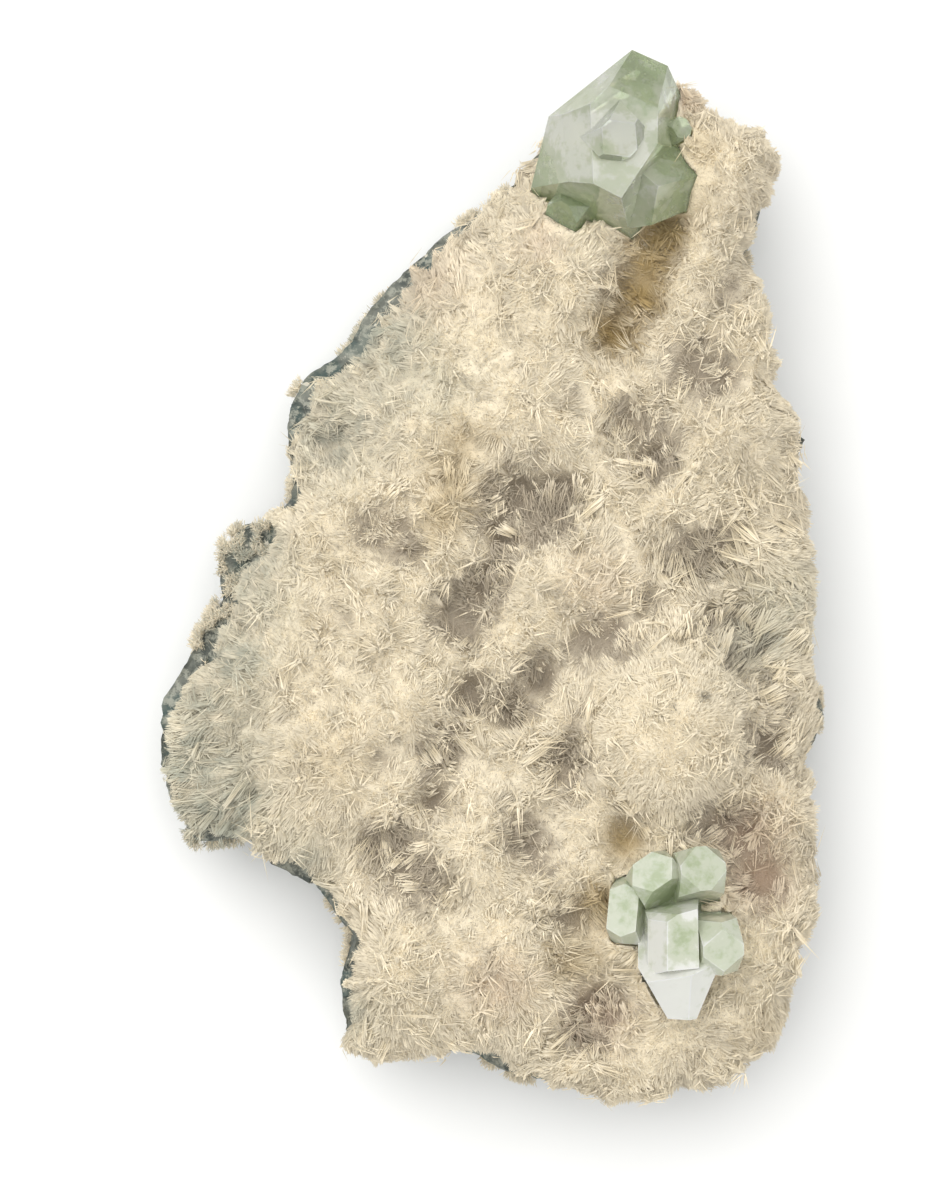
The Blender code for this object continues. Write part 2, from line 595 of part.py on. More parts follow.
def main():
    for thing in list(bpy.data.objects):
        bpy.data.objects.remove(thing)
    crust_loop = walk(CRUST_EDGE, CRUST_GRID)
    basalt_matrix(crust_loop)
    crust = scolecite_crust(crust_loop)
    apophyllite = material("apophyllite")
    large_bodies = (("body", LARGE_BODY), ("wing", LARGE_WING))
    cluster("apophyllite_large_cluster", large_bodies, LARGE_CLUSTER, crust, apophyllite)
    small_bodies = (("middle", SMALL_MIDDLE), ("pearly", SMALL_PEARLY))
    cluster("apophyllite_small_cluster", small_bodies, SMALL_CLUSTER, crust, apophyllite)


main()
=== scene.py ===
"""The looks of a cabinet specimen of apophyllite on scolecite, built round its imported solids.

The specimen lies on its basalt back with the crystal face up, and +Y is the end with the large
crystals. Lengths in the tables and in the working shapes are millimetres; a finished mesh is in
metres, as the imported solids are.
"""

import math
from functools import lru_cache

import bmesh
import bpy
import numpy as np
from bpy.props import FloatProperty, FloatVectorProperty, IntProperty, PointerProperty
from mathutils import Matrix, Vector, noise
from mathutils.bvhtree import BVHTree
from mathutils.kdtree import KDTree


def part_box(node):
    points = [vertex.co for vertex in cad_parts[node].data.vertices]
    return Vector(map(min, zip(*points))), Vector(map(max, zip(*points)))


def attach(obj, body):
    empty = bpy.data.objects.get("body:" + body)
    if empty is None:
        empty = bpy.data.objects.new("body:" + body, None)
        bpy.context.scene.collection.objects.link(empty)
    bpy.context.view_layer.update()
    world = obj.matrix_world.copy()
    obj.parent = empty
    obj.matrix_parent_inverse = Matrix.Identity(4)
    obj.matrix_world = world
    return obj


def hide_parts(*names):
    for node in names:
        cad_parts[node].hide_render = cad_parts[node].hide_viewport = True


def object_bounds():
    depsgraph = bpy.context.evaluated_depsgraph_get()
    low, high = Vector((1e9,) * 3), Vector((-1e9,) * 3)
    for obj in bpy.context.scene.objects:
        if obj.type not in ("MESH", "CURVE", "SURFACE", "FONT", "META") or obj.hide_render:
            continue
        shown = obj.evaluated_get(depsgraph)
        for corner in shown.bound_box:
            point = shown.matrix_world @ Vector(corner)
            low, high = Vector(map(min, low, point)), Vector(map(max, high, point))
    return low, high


bl_info = {
    "name": "Apophyllite on Scolecite",
    "version": (1, 0, 0),
    "blender": (4, 5, 0),
    "location": "View3D > Sidebar > Specimen",
    "description": "Builds the basalt, needle crust, crystals and studio of one specimen",
    "category": "Object",
}

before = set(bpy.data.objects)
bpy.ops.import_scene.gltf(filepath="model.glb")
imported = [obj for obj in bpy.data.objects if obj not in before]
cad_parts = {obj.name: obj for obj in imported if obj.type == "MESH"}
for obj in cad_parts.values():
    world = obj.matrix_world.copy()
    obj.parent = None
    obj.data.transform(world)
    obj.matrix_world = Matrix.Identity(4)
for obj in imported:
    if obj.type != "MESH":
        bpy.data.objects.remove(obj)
CAD_BOX = [list(corner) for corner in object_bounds()]

MM = 0.001
BODY = "root"
CRUST = "scolecite_crust"
ROCK = "basalt_matrix"
LARGE = "apophyllite_large_cluster"
SMALL = "apophyllite_small_cluster"

# Named sprays of needles: x, y, radius, and how far they lean towards +X and +Y
SPRAYS = (
    (30.5, -24.5, 14.5, 0.0, 0.0),  # the great rosette
    (11.5, 51, 12.5, 0.15, -0.1),  # lobe that overhangs the stained cleft
    (41, 74, 9.5, 0.1, 0.0),  # knob beside the large crystals
    (33, 83.5, 4.5, 0.0, 0.2),
    (11.5, 4, 9.0, 0.0, 0.7),  # fan that opens towards the large crystals
    (2.5, -13, 6.0, 0.0, -0.6),  # comb that points down
    (11.5, -23, 6.5, -0.2, 0.4),
    (-12, -21, 7.5, 0.2, 0.0),
    (-9.5, 5.5, 3.2, 0.0, 0.0),  # small knob in a hollow
    (-8, 42, 8.5, -0.3, 0.1),
    (-16, 27, 8.0, -0.3, 0.0),
    (-24, 13.5, 7.5, -0.1, 0.2),
    (6.5, 31, 8.0, 0.2, 0.0),
    (24.5, 33, 5.5, 0.0, 0.0),
    (36, 56, 7.0, 0.1, 0.0),
    (45, 40, 5.0, 0.2, 0.0),
    (-3, -44, 8.0, 0.0, -0.2),
    (-27, -30, 8.5, -0.1, -0.2),
    (-16, -66, 9.0, 0.0, -0.1),
    (4, -63, 7.5, 0.2, 0.0),
    (47, -64, 8.0, 0.1, -0.1),
    (31, -77, 6.5, 0.0, -0.1),
    (-36, -13, 8.0, -0.2, 0.1),
    (51, -38, 6.0, 0.2, 0.0),
)

# Where gaps between the sprays lie in hollows, grey with painted shade, and where minerals colour
# the crust: x, y, reach and strength
SHADED_HOLLOWS = (
    (49, -22, 5, 0.5), (44, -10, 5, 0.5), (36, -5, 4.5, 0.45), (47, -31, 5, 0.5), (14, -33, 4, 0.6),
    (36, -41, 4, 0.5), (19, -9, 4, 0.5), (33, 38, 8, 0.35), (0, 12, 8, 0.4), (30, 4, 7, 0.35),
    (28, 58.5, 4.5, 1.0), (24, 50, 5, 1.0), (20.5, 43, 4, 0.85), (40, 49, 4.5, 0.6),
    (34, 36.5, 5.5, 0.75), (39, 34.5, 4, 0.65), (23.5, 28, 5, 0.7), (30.5, 24.5, 4, 0.6),
    (13.5, 31, 3, 0.5), (27.5, 21, 4, 0.7), (8, 22.5, 2.5, 0.5), (-27.5, 24.5, 5, 0.4),
    (4, 15, 4.5, 0.9), (9.5, 11.5, 5, 0.85), (13, 15.5, 4, 0.5), (2.5, 6.5, 4, 0.6),
    (14.5, 5, 3, 0.5), (-19.5, 10, 6, 0.7), (-14, 6, 4, 0.6), (39.5, 6, 4, 0.8), (34, 5, 4.5, 0.7),
    (42.5, 9.5, 3, 0.5), (-1, 0, 4, 0.85), (-5.5, -5.5, 5.5, 0.85), (27, -2.5, 3, 0.5),
    (39.5, -5.5, 3.5, 0.6), (16, -9.5, 4.5, 0.6), (21.5, -8.5, 3.5, 0.6), (45.5, -9.5, 3, 0.5),
    (42, -14, 3, 0.5), (47.5, -16.5, 2.5, 0.5), (-25.5, -5.5, 3.5, 0.4), (-42, -7, 3, 0.5),
    (8, -15, 4, 0.95), (-3.5, -18.5, 3.5, 0.95), (3.5, -21.5, 3.5, 0.95), (13.5, -22.5, 3, 0.55),
    (-8, -27.5, 4.5, 0.9), (12, -29.5, 4, 0.9), (46.5, -27, 3.5, 0.6), (-32.5, -31.5, 4, 0.4),
    (-18.5, -30.5, 4, 0.45), (-9.5, -36.5, 3.5, 0.8), (5, -42.5, 4.5, 0.7), (8, -46, 4, 0.6),
    (-19, -44.5, 4.5, 0.8), (-13.5, -47, 5, 0.75), (-9.5, -52, 4.5, 0.6), (-17, -53.5, 4, 0.4),
    (22.5, -43, 2.5, 0.8), (41.5, -42.5, 5, 0.85), (47, -50.5, 5, 0.8), (13.5, -56.5, 3.5, 0.9),
    (11.5, -64.5, 3, 0.55), (-23.5, -68.5, 2.5, 0.5), (18.5, -72, 5, 0.8), (15, -76.5, 4.5, 0.7),
)
IRON_STAINS = (
    (25.5, 49, 3.6, 1.0), (26.5, 54.5, 3.4, 0.95), (29, 59.5, 3.8, 1.0), (21, 42.5, 3.6, 1.0),
    (35, 74, 3.5, 0.4), (33, 66, 5, 0.3), (-6.2, 17.6, 5, 0.5),
    (-8.7, 10.8, 4, 0.5), (-4.5, 24.4, 4, 0.35), (18.4, -54.4, 4, 0.8), (15, -63.7, 4, 0.6),
    (22.6, -43.4, 3.5, 0.8), (-27, -30, 6, 0.2), (46, -77, 4, 0.2),
)
ROSE_STAINS = (
    (44.7, -41.7, 5, 0.7), (46.4, -50.2, 5, 0.7), (1.4, -68, 6, 0.5), (8.2, 58.3, 4, 0.5),
    (33.6, 82.9, 3, 0.6), (-12.1, 53.2, 7, 0.5), (19, -73, 5, 0.5), (18, 0, 6, 0.3),
)
CELADONITE_DUST = (
    (-27.4, 43, 8, 0.4), (-17.2, 55, 8, 0.4), (-10.5, 34, 8, 0.3), (-42, -2, 9, 0.4),
    (-46, -20, 8, 0.4), (-27.4, 26.1, 9, 0.5), (-18.9, 43, 7, 0.6), (-52, -29.8, 9, 0.75),
    (-47.7, -40, 8, 0.9), (-44.3, -11.2, 6, 0.5), (-40.9, 6.6, 5, 0.6), (-32.5, -48.5, 5, 0.5),
    (52.3, -2.7, 7, 0.35), (45.5, -9.5, 7, 0.35), (-24.8, -73.9, 5, 0.5),
)
DARK_SPECKS = ((29.9, -20, 0.8, 0.85), (35.8, -18.6, 0.8, 0.85), (23.3, -51.7, 0.8, 0.6))

# How the apophyllite looks from above: x, y, reach, from -1 for deep green to 1 for milky. The
# milky spots are partly milky stone and partly painted sheen and highlights off faces and edges
LARGE_TONES = (
    (25.2, 84.4, 4.5, -1.0), (29.2, 82, 1.6, 0.9), (27.6, 77, 1.3, 0.8), (14, 82, 2.5, -0.6),
    (18.6, 85, 1.8, 0.8), (13.5, 76, 3.2, 0.9), (14, 70, 3.0, 0.8), (21.3, 75.8, 2.6, 1.0),
    (18.3, 72.5, 1.6, -0.5), (23.3, 80, 1.3, -0.4), (24.9, 71.6, 1.6, 0.9), (30.5, 70.8, 3.4, -0.9),
    (27, 65.5, 1.8, 0.6), (29.5, 63, 3.0, -0.8), (9, 67.5, 3.2, -1.0), (8, 72, 2.0, -0.8),
    (15.2, 62.5, 3.2, -1.0), (29.7, 76.1, 1.6, -0.7), (21.5, 64.5, 3.0, 0.2),
)
# Here the middle crystal's two top edges are painted highlights, and its bright left face and the
# broad pearly face are painted sheen over milky stone
SMALL_TONES = (
    (22, -47, 3.5, -0.3), (28.4, -50.7, 3.0, -1.0), (31, -48, 1.2, 0.7), (34.3, -49, 3.2, -0.5),
    (39, -48.5, 3.0, -0.3), (27.8, -60, 1.8, 1.0), (27.7, -56.4, 1.3, 1.0), (31.8, -60, 2.2, -0.8),
    (33.1, -54.5, 1.4, 1.0), (34.6, -60.5, 1.0, 0.9), (38, -60.6, 3.2, -0.3), (37.2, -59, 1.0, 0.6),
    (22.5, -54, 3.0, -0.5), (30.5, -69.2, 5.0, 1.0), (26.5, -66, 2.2, 0.8), (34.5, -66.5, 2.0, 0.8),
)


def linear(code):
    """The linear colour of an sRGB hex code."""
    channels = [int(code[k : k + 2], 16) / 255 for k in (1, 3, 5)]
    return tuple(c / 12.92 if c <= 0.04045 else ((c + 0.055) / 1.055) ** 2.4 for c in channels)


def colour(name, code, description):
    return FloatVectorProperty(
        name=name, description=description, default=linear(code), size=3, min=0, max=1,
        subtype="COLOR",
    )


def length(name, millimetres, description, most=1.0):
    return FloatProperty(
        name=name, description=description, default=millimetres * MM, min=0, max=most,
        unit="LENGTH", subtype="DISTANCE", precision=5,
    )


def share(name, default, description, most=1.0):
    return FloatProperty(
        name=name, description=description, default=default, min=0, max=most, subtype="FACTOR"
    )


class BasaltSettings(bpy.types.PropertyGroup):
    edge: length("Edge", 1.5, "Longest edge of the broken rock's mesh")
    grain: length("Grain", 0.8, "Height of the roughness on a broken face")
    stone: colour("Stone", "#4a504a", "Fresh basalt")
    weathered: colour("Weathered", "#a3a496", "Weathered basalt and its dust")
    filling: colour("Filling", "#d8d3c2", "Zeolite that fills the small vesicles")
    celadonite: colour("Celadonite", "#455550", "Blue-green celadonite that lines the cracks")


class CrustSettings(bpy.types.PropertyGroup):
    bed_depth: length("Bed depth", 1.6, "How far the felted bed lies below the needle tips")
    relief: length("Bed relief", 0.35, "Height of the bed's fine relief")
    cream: colour("Cream", "#f5e8cc", "Needle tips on the raised sprays")
    # The feet are a little darker than the tips: painted shade deep between the needles
    root: colour("Root", "#efdfbd", "Needle feet, deep between their neighbours")
    hollow: colour("Hollow", "#9d907d", "Clear needles over shadow in the hollows")
    iron: colour("Iron stain", "#a98c4c", "Olive brown iron stain")
    rose: colour("Rose stain", "#c9a184", "Pinkish stain")
    dust: colour("Celadonite dust", "#a0a596", "Grey-green dust from the rock")


class NeedleSettings(bpy.types.PropertyGroup):
    count: IntProperty(
        name="Count", description="Needles on the whole crust", default=200000, min=1000, max=250000
    )
    ledge_count: IntProperty(
        name="Count on ledges", description="Needles on the rock's bare ledges", default=14000,
        min=100, max=50000,
    )
    # Real needles are a few hundredths of a millimetre thick. That is too fine to show in the
    # render, so these are drawn several times as coarse, and fewer
    thickness: length("Thickness", 0.2, "Thickness of a middling needle at its widest")
    length: length("Length", 6.0, "Length of a middling needle")
    slant: share("Slant", 0.16, "How much of a needle its slanting tip takes up")
    splay: share("Splay", 0.75, "How far needles open out from their bundle's root", 2.0)
    seed: IntProperty(name="Seed", description="Seed of every random draw", default=7, min=0)


class CrystalSettings(bpy.types.PropertyGroup):
    # The frosted edges are a painted highlight: white in the base colour on a rim along each sharp
    # edge
    edge: length("Edge", 0.17, "Width of the frosted edges, on each of their faces")
    patch: length("Patch", 1.2, "Longest edge of the crystals' mesh, which carries their tones")
    green: colour("Green", "#bbc8a2", "The deepest green faces")
    clear: colour("Clear", "#dde2cc", "The palest clear faces")
    depth_tint: colour("Depth tint", "#a4bf83", "What the stone lets through over some thickness")
    absorption: FloatProperty(
        name="Absorption", description="Density of the green stone, per metre", default=15, min=0
    )
    transmission: share("Transmission", 0.66, "Share of the light that enters the large crystals")
    pearly: share(
        "Pearly transmission", 0.36, "The same for the small crystals, which have a pearly lustre"
    )
    ior: FloatProperty(name="IOR", description="Apophyllite's", default=1.535, min=1, max=3)
    # Milky stone, and the painted sheen of the pearly and bright faces
    milk_and_sheen: colour("Milk", "#fcfcf6", "Milky veils and pearly faces")
    # White of the painted highlight along the sharp edges
    highlight_white: colour("Frost", "#ffffff", "Frosted edges")


class StageSettings(bpy.types.PropertyGroup):
    height: length("Camera height", 900, "From the floor up to the camera", 10)
    seen: length("Seen", 203.4, "Long side of the picture at the crystal face", 10)
    key: FloatProperty(name="Key light", description="Power", default=6.8, min=0, unit="POWER")
    fill: FloatProperty(name="Fill light", description="Power", default=1.2, min=0, unit="POWER")
    sky: FloatProperty(name="Sky", description="Strength of light from all round", default=0.74)
    paper: colour("Paper", "#fafaf8", "The floor")


class SpecimenSettings(bpy.types.PropertyGroup):
    basalt: PointerProperty(type=BasaltSettings)
    crust: PointerProperty(type=CrustSettings)
    needles: PointerProperty(type=NeedleSettings)
    crystals: PointerProperty(type=CrystalSettings)
    stage: PointerProperty(type=StageSettings)


# Working shapes

MOST_HALVINGS = 4
NEXT_HIT = 1e-4  # how far past one hit a ray starts again
CLEARANCE = 0.6  # nearer than this to a crystal the crust stays bare
UNDERSIDE = -0.55  # where a normal's Z is lower, the crust faces the rock and stays bare


def packed(node):
    """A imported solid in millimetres, its loose triangles joined."""
    shape = bmesh.new()
    shape.from_mesh(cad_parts[node].data)
    bmesh.ops.remove_doubles(shape, verts=shape.verts, dist=1e-6)
    bmesh.ops.scale(shape, vec=(1 / MM,) * 3, verts=shape.verts)
    shape.normal_update()
    return shape


def finished(name, shape, finish, smooth=False):
    """An object of a shape in millimetres."""
    bmesh.ops.scale(shape, vec=(MM,) * 3, verts=shape.verts)
    mesh = bpy.data.meshes.new(name)
    shape.to_mesh(mesh)
    shape.free()
    mesh.shade_smooth() if smooth else mesh.shade_flat()
    return placed(name, mesh, finish)


def placed(name, mesh, finish):
    thing = bpy.data.objects.new(name, mesh)
    bpy.context.scene.collection.objects.link(thing)
    mesh.materials.clear()
    mesh.materials.append(finish)
    return thing


def stands_for(thing, node):
    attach(thing, BODY)
    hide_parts(node)


def refine(shape, longest, wanted):
    """Halves the wanted edges until none is longer than that, a few times at most."""
    for _ in range(MOST_HALVINGS):
        edges = [e for e in shape.edges if e.calc_length() > longest and wanted(e)]
        if not edges:
            break
        bmesh.ops.subdivide_edges(shape, edges=edges, cuts=1)
        bmesh.ops.triangulate(shape, faces=[f for f in shape.faces if len(f.verts) > 3])
    shape.normal_update()


def rough(place, size):
    """Smooth noise from -1 to 1 whose lumps are about that many millimetres."""
    return noise.noise(place / size)


def floats(mesh, name, values):
    stored = mesh.attributes.new(name, "FLOAT", "POINT").data
    stored.foreach_set("value", np.asarray(values, np.float32))


@lru_cache
def solid(node):
    return BVHTree.FromBMesh(packed(node))


def inside_crystal(point, margin):
    """Whether a point lies in a crystal, or nearer to one than the margin."""
    up = Vector((0, 0, 1))
    for node in (LARGE, SMALL):
        if solid(node).find_nearest(point, margin)[0]:
            return True
        crossings = 0
        hit = solid(node).ray_cast(point, up)[0]
        while hit:
            crossings += 1
            hit = solid(node).ray_cast(hit + up * NEXT_HIT, up)[0]
        if crossings % 2:
            return True
    return False


# The crust's relief, as a grid of heights seen from above

CELL = 1.0
SCALES = (1.2, 3.0, 8.0)  # cells that a bundle of needles, a spray and several sprays take up
RIM_REACH = 3.5  # cells over which the crust changes towards its rim
RIM_CELLS = 12  # how many cells to each side are looked at for that
PEAK_CELLS = 3  # a peak is the highest cell for this many to each side
PEAK_RADIUS = 4.5  # of the spray that stands on a peak
SPRAYS_APART = 0.62  # nearest that a peak may be to a spray, as a share of both radii
MIDDLING_WEIGHT = 0.15  # weight of a middling tone everywhere on a crystal


@lru_cache
def heights():
    """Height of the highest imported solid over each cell, and the grid's first corner."""
    low, high = (np.array(corner) / MM for corner in CAD_BOX)
    columns, rows = (int(n) for n in np.ceil((high - low)[:2] / CELL))
    grid = np.full((rows, columns), np.nan)
    for row in range(rows):
        for column in range(columns):
            x, y = low[0] + (column + 0.5) * CELL, low[1] + (row + 0.5) * CELL
            above, down = Vector((x, y, 2 * high[2])), Vector((0, 0, -1))
            tops = [solid(node).ray_cast(above, down)[0] for node in (CRUST, LARGE, SMALL)]
            if tops[0]:
                grid[row, column] = max(top.z for top in tops if top)
    return grid, low[:2]


def bell(spread, reach):
    return np.exp(-0.5 * (np.arange(-reach, reach + 1) / spread) ** 2)


def blurred(grid, weights):
    for axis in (0, 1):
        grid = np.apply_along_axis(np.convolve, axis, grid, weights, "same")
    return grid


def evened(grid, spread):
    """The grid blurred over that many cells, its empty cells left out of the sum."""
    weights = bell(spread, int(3 * spread))
    known = ~np.isnan(grid)
    total = blurred(np.where(known, grid, 0), weights)
    return total / np.maximum(blurred(known.astype(float), weights), 1e-6)


def read(grid, x, y):
    """The grid's values at points, in between its cells too."""
    first = heights()[1]
    column = np.clip((x - first[0]) / CELL - 0.5, 0, grid.shape[1] - 1.001)
    row = np.clip((y - first[1]) / CELL - 0.5, 0, grid.shape[0] - 1.001)
    c, r = column.astype(int), row.astype(int)
    u, v = column - c, row - r
    low = grid[r, c] * (1 - u) + grid[r, c + 1] * u
    high = grid[r + 1, c] * (1 - u) + grid[r + 1, c + 1] * u
    return low * (1 - v) + high * v


@lru_cache
def relief():
    """The crust's height evened over a needle bundle, over a spray and over several sprays."""
    return tuple(evened(heights()[0], spread) for spread in SCALES)


@lru_cache
def inland():
    """1 well inside the crust's outline, falling to 0 at its rim, on the grid."""
    weights = bell(RIM_REACH, RIM_CELLS)
    known = blurred((~np.isnan(heights()[0])).astype(float), weights / weights.sum())
    return np.clip((known - 0.5) * 2.2, 0, 1)


@lru_cache
def sprays():
    """Every spray's x, y, radius and lean: the named ones, then each peak of the relief."""
    fine = relief()[0]
    first = heights()[1]
    padded = np.pad(fine, PEAK_CELLS, mode="edge")
    around = np.lib.stride_tricks.sliding_window_view(padded, (2 * PEAK_CELLS + 1,) * 2)
    peaks = np.argwhere((fine >= around.max(axis=(2, 3))) & ~np.isnan(heights()[0]))
    found = list(SPRAYS)
    for row, column in sorted(peaks.tolist(), key=lambda cell: -fine[tuple(cell)]):
        x, y = first[0] + (column + 0.5) * CELL, first[1] + (row + 0.5) * CELL
        apart = (math.hypot(x - a, y - b) / (PEAK_RADIUS + r) for a, b, r, _, _ in found)
        if min(apart) > SPRAYS_APART:
            found.append((x, y, PEAK_RADIUS, 0.0, 0.0))
    return np.array(found)


def spread_of(table, x, y):
    """How strongly the places of a table colour each point, from 0 to 1."""
    left = np.ones_like(x)
    for px, py, reach, strength in table:
        left *= 1 - strength * np.exp(-((x - px) ** 2 + (y - py) ** 2) / reach**2)
    return 1 - left


def tone_of(table, x, y):
    """The tone that a table gives each point, from 0 for deep green to 1 for milky. It is middling
    where the table names no place."""
    total, weights = np.zeros_like(x), np.full_like(x, MIDDLING_WEIGHT)
    for px, py, reach, tone in table:
        weight = np.exp(-(((x - px) ** 2 + (y - py) ** 2) / reach**2))
        total += weight * tone
        weights += weight
    return 0.5 + 0.5 * total / weights


def eased(values, low, high):
    """0 at low, 1 at high, smooth between them."""
    t = np.clip((values - low) / (high - low), 0, 1)
    return t * t * (3 - 2 * t)


def colour_values(points):
    """What colours the crust: the painted shade of how hollow each point is, and its stains."""
    x, y = points.T[:2]
    fine, _, broad = relief()
    low = read(broad, x, y) - read(fine, x, y)
    places = [Vector(point) for point in points.tolist()]
    patchy = np.array([rough(place, 2.2) + 0.6 * rough(place, 5.5) for place in places])
    # Painted shade: grey in the listed hollows and where the crust lies below its broader relief,
    # in noisy patches
    grey = 1.15 * spread_of(SHADED_HOLLOWS, x, y) + 0.06 * low + 0.35 * patchy
    iron = spread_of(IRON_STAINS, x, y)
    return {
        "hollow": eased(grey, 0.2, 0.95) * read(inland(), x, y) * (1 - 0.6 * iron),
        "iron": iron,
        "rose": spread_of(ROSE_STAINS, x, y),
        "dust": np.clip(spread_of(CELADONITE_DUST, x, y) * (1 + 0.9 * patchy), 0, 1),
    }


# Materials

MOTTLE = 0.985  # brightness of the paper's mottles


def add(tree, kind, inputs=None, **settings):
    """Adds a node with its settings. An input is a value, or the socket that feeds it."""
    made = tree.nodes.new(kind)
    for name, value in settings.items():
        setattr(made, name, value)
    for name, value in (inputs or {}).items():
        if isinstance(value, bpy.types.NodeSocket):
            tree.links.new(value, made.inputs[name])
        else:
            made.inputs[name].default_value = value
    return made


def new_material(name):
    """An empty material and its tree."""
    made = bpy.data.materials.new(name)
    made.use_nodes = True
    made.node_tree.nodes.clear()
    return made, made.node_tree


def pattern(tree, source, detail=2.0, roughness=0.5):
    """A value that changes over the surface: a mesh attribute, given by its name, or noise, given
    by the size of its grains in millimetres."""
    if isinstance(source, str):
        return add(tree, "ShaderNodeAttribute", attribute_name=source).outputs["Fac"]
    place = add(tree, "ShaderNodeTexCoord").outputs["Object"]
    scale = 1 / (source * MM)
    values = {"Vector": place, "Scale": scale, "Detail": detail, "Roughness": roughness}
    return add(tree, "ShaderNodeTexNoise", values).outputs["Fac"]


def layered(tree, ground, layers):
    """The ground's colour with others laid over it in turn. A layer is its colour, the pattern that
    it follows, the most of it that shows and, where it has an edge, the two values of the pattern
    between which it fades in."""
    shown = (*ground, 1)
    for tint, follows, most, *edge in layers:
        low, high = edge or (0, 1)
        cover = add(
            tree, "ShaderNodeMapRange",
            {"Value": follows, "From Min": low, "From Max": high, "To Max": most},
            interpolation_type="SMOOTHSTEP" if edge else "LINEAR",
        ).outputs["Result"]
        colours = {0: cover, 6: shown, 7: (*tint, 1)}
        shown = add(tree, "ShaderNodeMix", colours, data_type="RGBA").outputs[2]
    return shown


def scolecite(name, crust, bed):
    """Scolecite, a fibrous zeolite grown in open vugs. Each needle is clear with a silky skin, and
    thousands scatter the light into a soft cream; over the shadow of a hollow they turn grey. That
    grey, the darker feet of the needles, and the lighter ridges and darker grooves of each spray
    are painted light and shade in the base colour. The felt's fibres are far finer than the 0.4 mm
    at which they are drawn here, so that they show."""
    made, tree = new_material(name)
    # The bed is cream with flecks of the hollows' grey, painted shade between its fibres; a needle
    # runs from the darker colour at its feet, painted shade between the needles, to cream at its
    # tip
    if bed:
        ground, cream = crust.hollow, (crust.cream, pattern(tree, 0.45, 4.0, 0.7), 1.0, 0.3, 0.46)
    else:
        ground, cream = crust.root, (crust.cream, pattern(tree, "along"), 1.0, 0.35, 0.95)
    shown = layered(tree, ground, (
        cream,
        (crust.hollow, pattern(tree, "hollow"), 0.9 if bed else 0.75),
        (crust.dust, pattern(tree, "dust"), 0.8),
        (crust.rose, pattern(tree, "rose"), 0.5),
        (crust.iron, pattern(tree, "iron"), 0.9),
    ))
    values = {"Base Color": shown, "Roughness": 0.55, "IOR": 1.515}
    if bed:
        fibres = {"Height": pattern(tree, 0.4, 4.0), "Distance": 0.4 * MM, "Strength": 0.8}
        values["Normal"] = add(tree, "ShaderNodeBump", fibres).outputs["Normal"]
    else:
        # Through the tint, painted light on the ridges of each spray and painted shade in its
        # grooves
        shade = {"Color": shown, "Value": pattern(tree, "tint")}
        values["Base Color"] = add(tree, "ShaderNodeHueSaturation", shade).outputs["Color"]
    shader = add(tree, "ShaderNodeBsdfPrincipled", values)
    add(tree, "ShaderNodeOutputMaterial", {"Surface": shader.outputs["BSDF"]})
    return made


def basalt(name, rock):
    """Basalt, a fine lava broken by hammer. Hackly faces are near black and dull, weathering greys
    them in patches, and more grey lies the more a face looks up; celadonite paints the cracks
    blue-green, and zeolite fills the small vesicles."""
    made, tree = new_material(name)
    shown = layered(tree, rock.stone, (
        (rock.celadonite, pattern(tree, 6.0, 3.0), 1.0, 0.48, 0.6),
        (rock.weathered, pattern(tree, 3.5, 4.0), 0.5, 0.4, 0.7),
        # Paler grey the more a face looks up
        (rock.weathered, pattern(tree, 1.6, 5.0, 0.75), pattern(tree, "looks_up"), 0.47, 0.58),
        (rock.filling, pattern(tree, 1.3, 1.0), 1.0, 0.7, 0.74),
    ))
    pits = add(
        tree, "ShaderNodeBump",
        {"Height": pattern(tree, 0.8, 4.0), "Distance": 0.4 * MM, "Strength": 0.8},
    )
    values = {"Base Color": shown, "Roughness": 0.72, "IOR": 1.6, "Normal": pits.outputs["Normal"]}
    shader = add(tree, "ShaderNodeBsdfPrincipled", values)
    add(tree, "ShaderNodeOutputMaterial", {"Surface": shader.outputs["BSDF"]})
    return made


def apophyllite(name, crystals, transmission):
    """Apophyllite, a glassy sheet silicate. Light goes through and turns pale green with depth, and
    faint growth lines break up the gloss. Its milky patches are partly milky stone and partly
    painted sheen and reflection, and a painted highlight runs along its sharp edges."""
    made, tree = new_material(name)
    tone = add(
        tree, "ShaderNodeMath", {0: pattern(tree, 1.8, 3.0, 0.6), 1: pattern(tree, "tone")},
        operation="ADD",
    ).outputs[0]
    # From deep green through clear to milky by tone, the milky end partly painted sheen; then the
    # white painted highlight on the rims of sharp edges
    shown = layered(tree, crystals.green, (
        (crystals.clear, tone, 1.0, 0.55, 0.95),
        (crystals.milk_and_sheen, tone, 1.0, 1.0, 1.35),
        (crystals.highlight_white, tone, pattern(tree, "highlight_rim"), 0.75, 1.45),
    ))
    lines = add(
        tree, "ShaderNodeBump",
        {"Height": pattern(tree, 1.6), "Distance": 0.08 * MM, "Strength": 0.35},
    )
    values = {
        "Base Color": shown, "Roughness": 0.05, "IOR": crystals.ior,
        "Transmission Weight": transmission, "Normal": lines.outputs["Normal"],
    }
    shader = add(tree, "ShaderNodeBsdfPrincipled", values)
    within = {"Color": (*crystals.depth_tint, 1), "Density": crystals.absorption}
    depth = add(tree, "ShaderNodeVolumeAbsorption", within)
    ends = {"Surface": shader.outputs["BSDF"], "Volume": depth.outputs["Volume"]}
    add(tree, "ShaderNodeOutputMaterial", ends)
    return made


def backdrop_paper(name, paper):
    """Matt white paper, faintly mottled, which throws soft light back up."""
    made, tree = new_material(name)
    mottle = [MOTTLE * channel for channel in paper]
    shown = layered(tree, paper, ((mottle, pattern(tree, 30.0), 1.0, 0.3, 0.7),))
    shader = add(tree, "ShaderNodeBsdfPrincipled", {"Base Color": shown, "Roughness": 0.9})
    add(tree, "ShaderNodeOutputMaterial", {"Surface": shader.outputs["BSDF"]})
    return made


# Needles

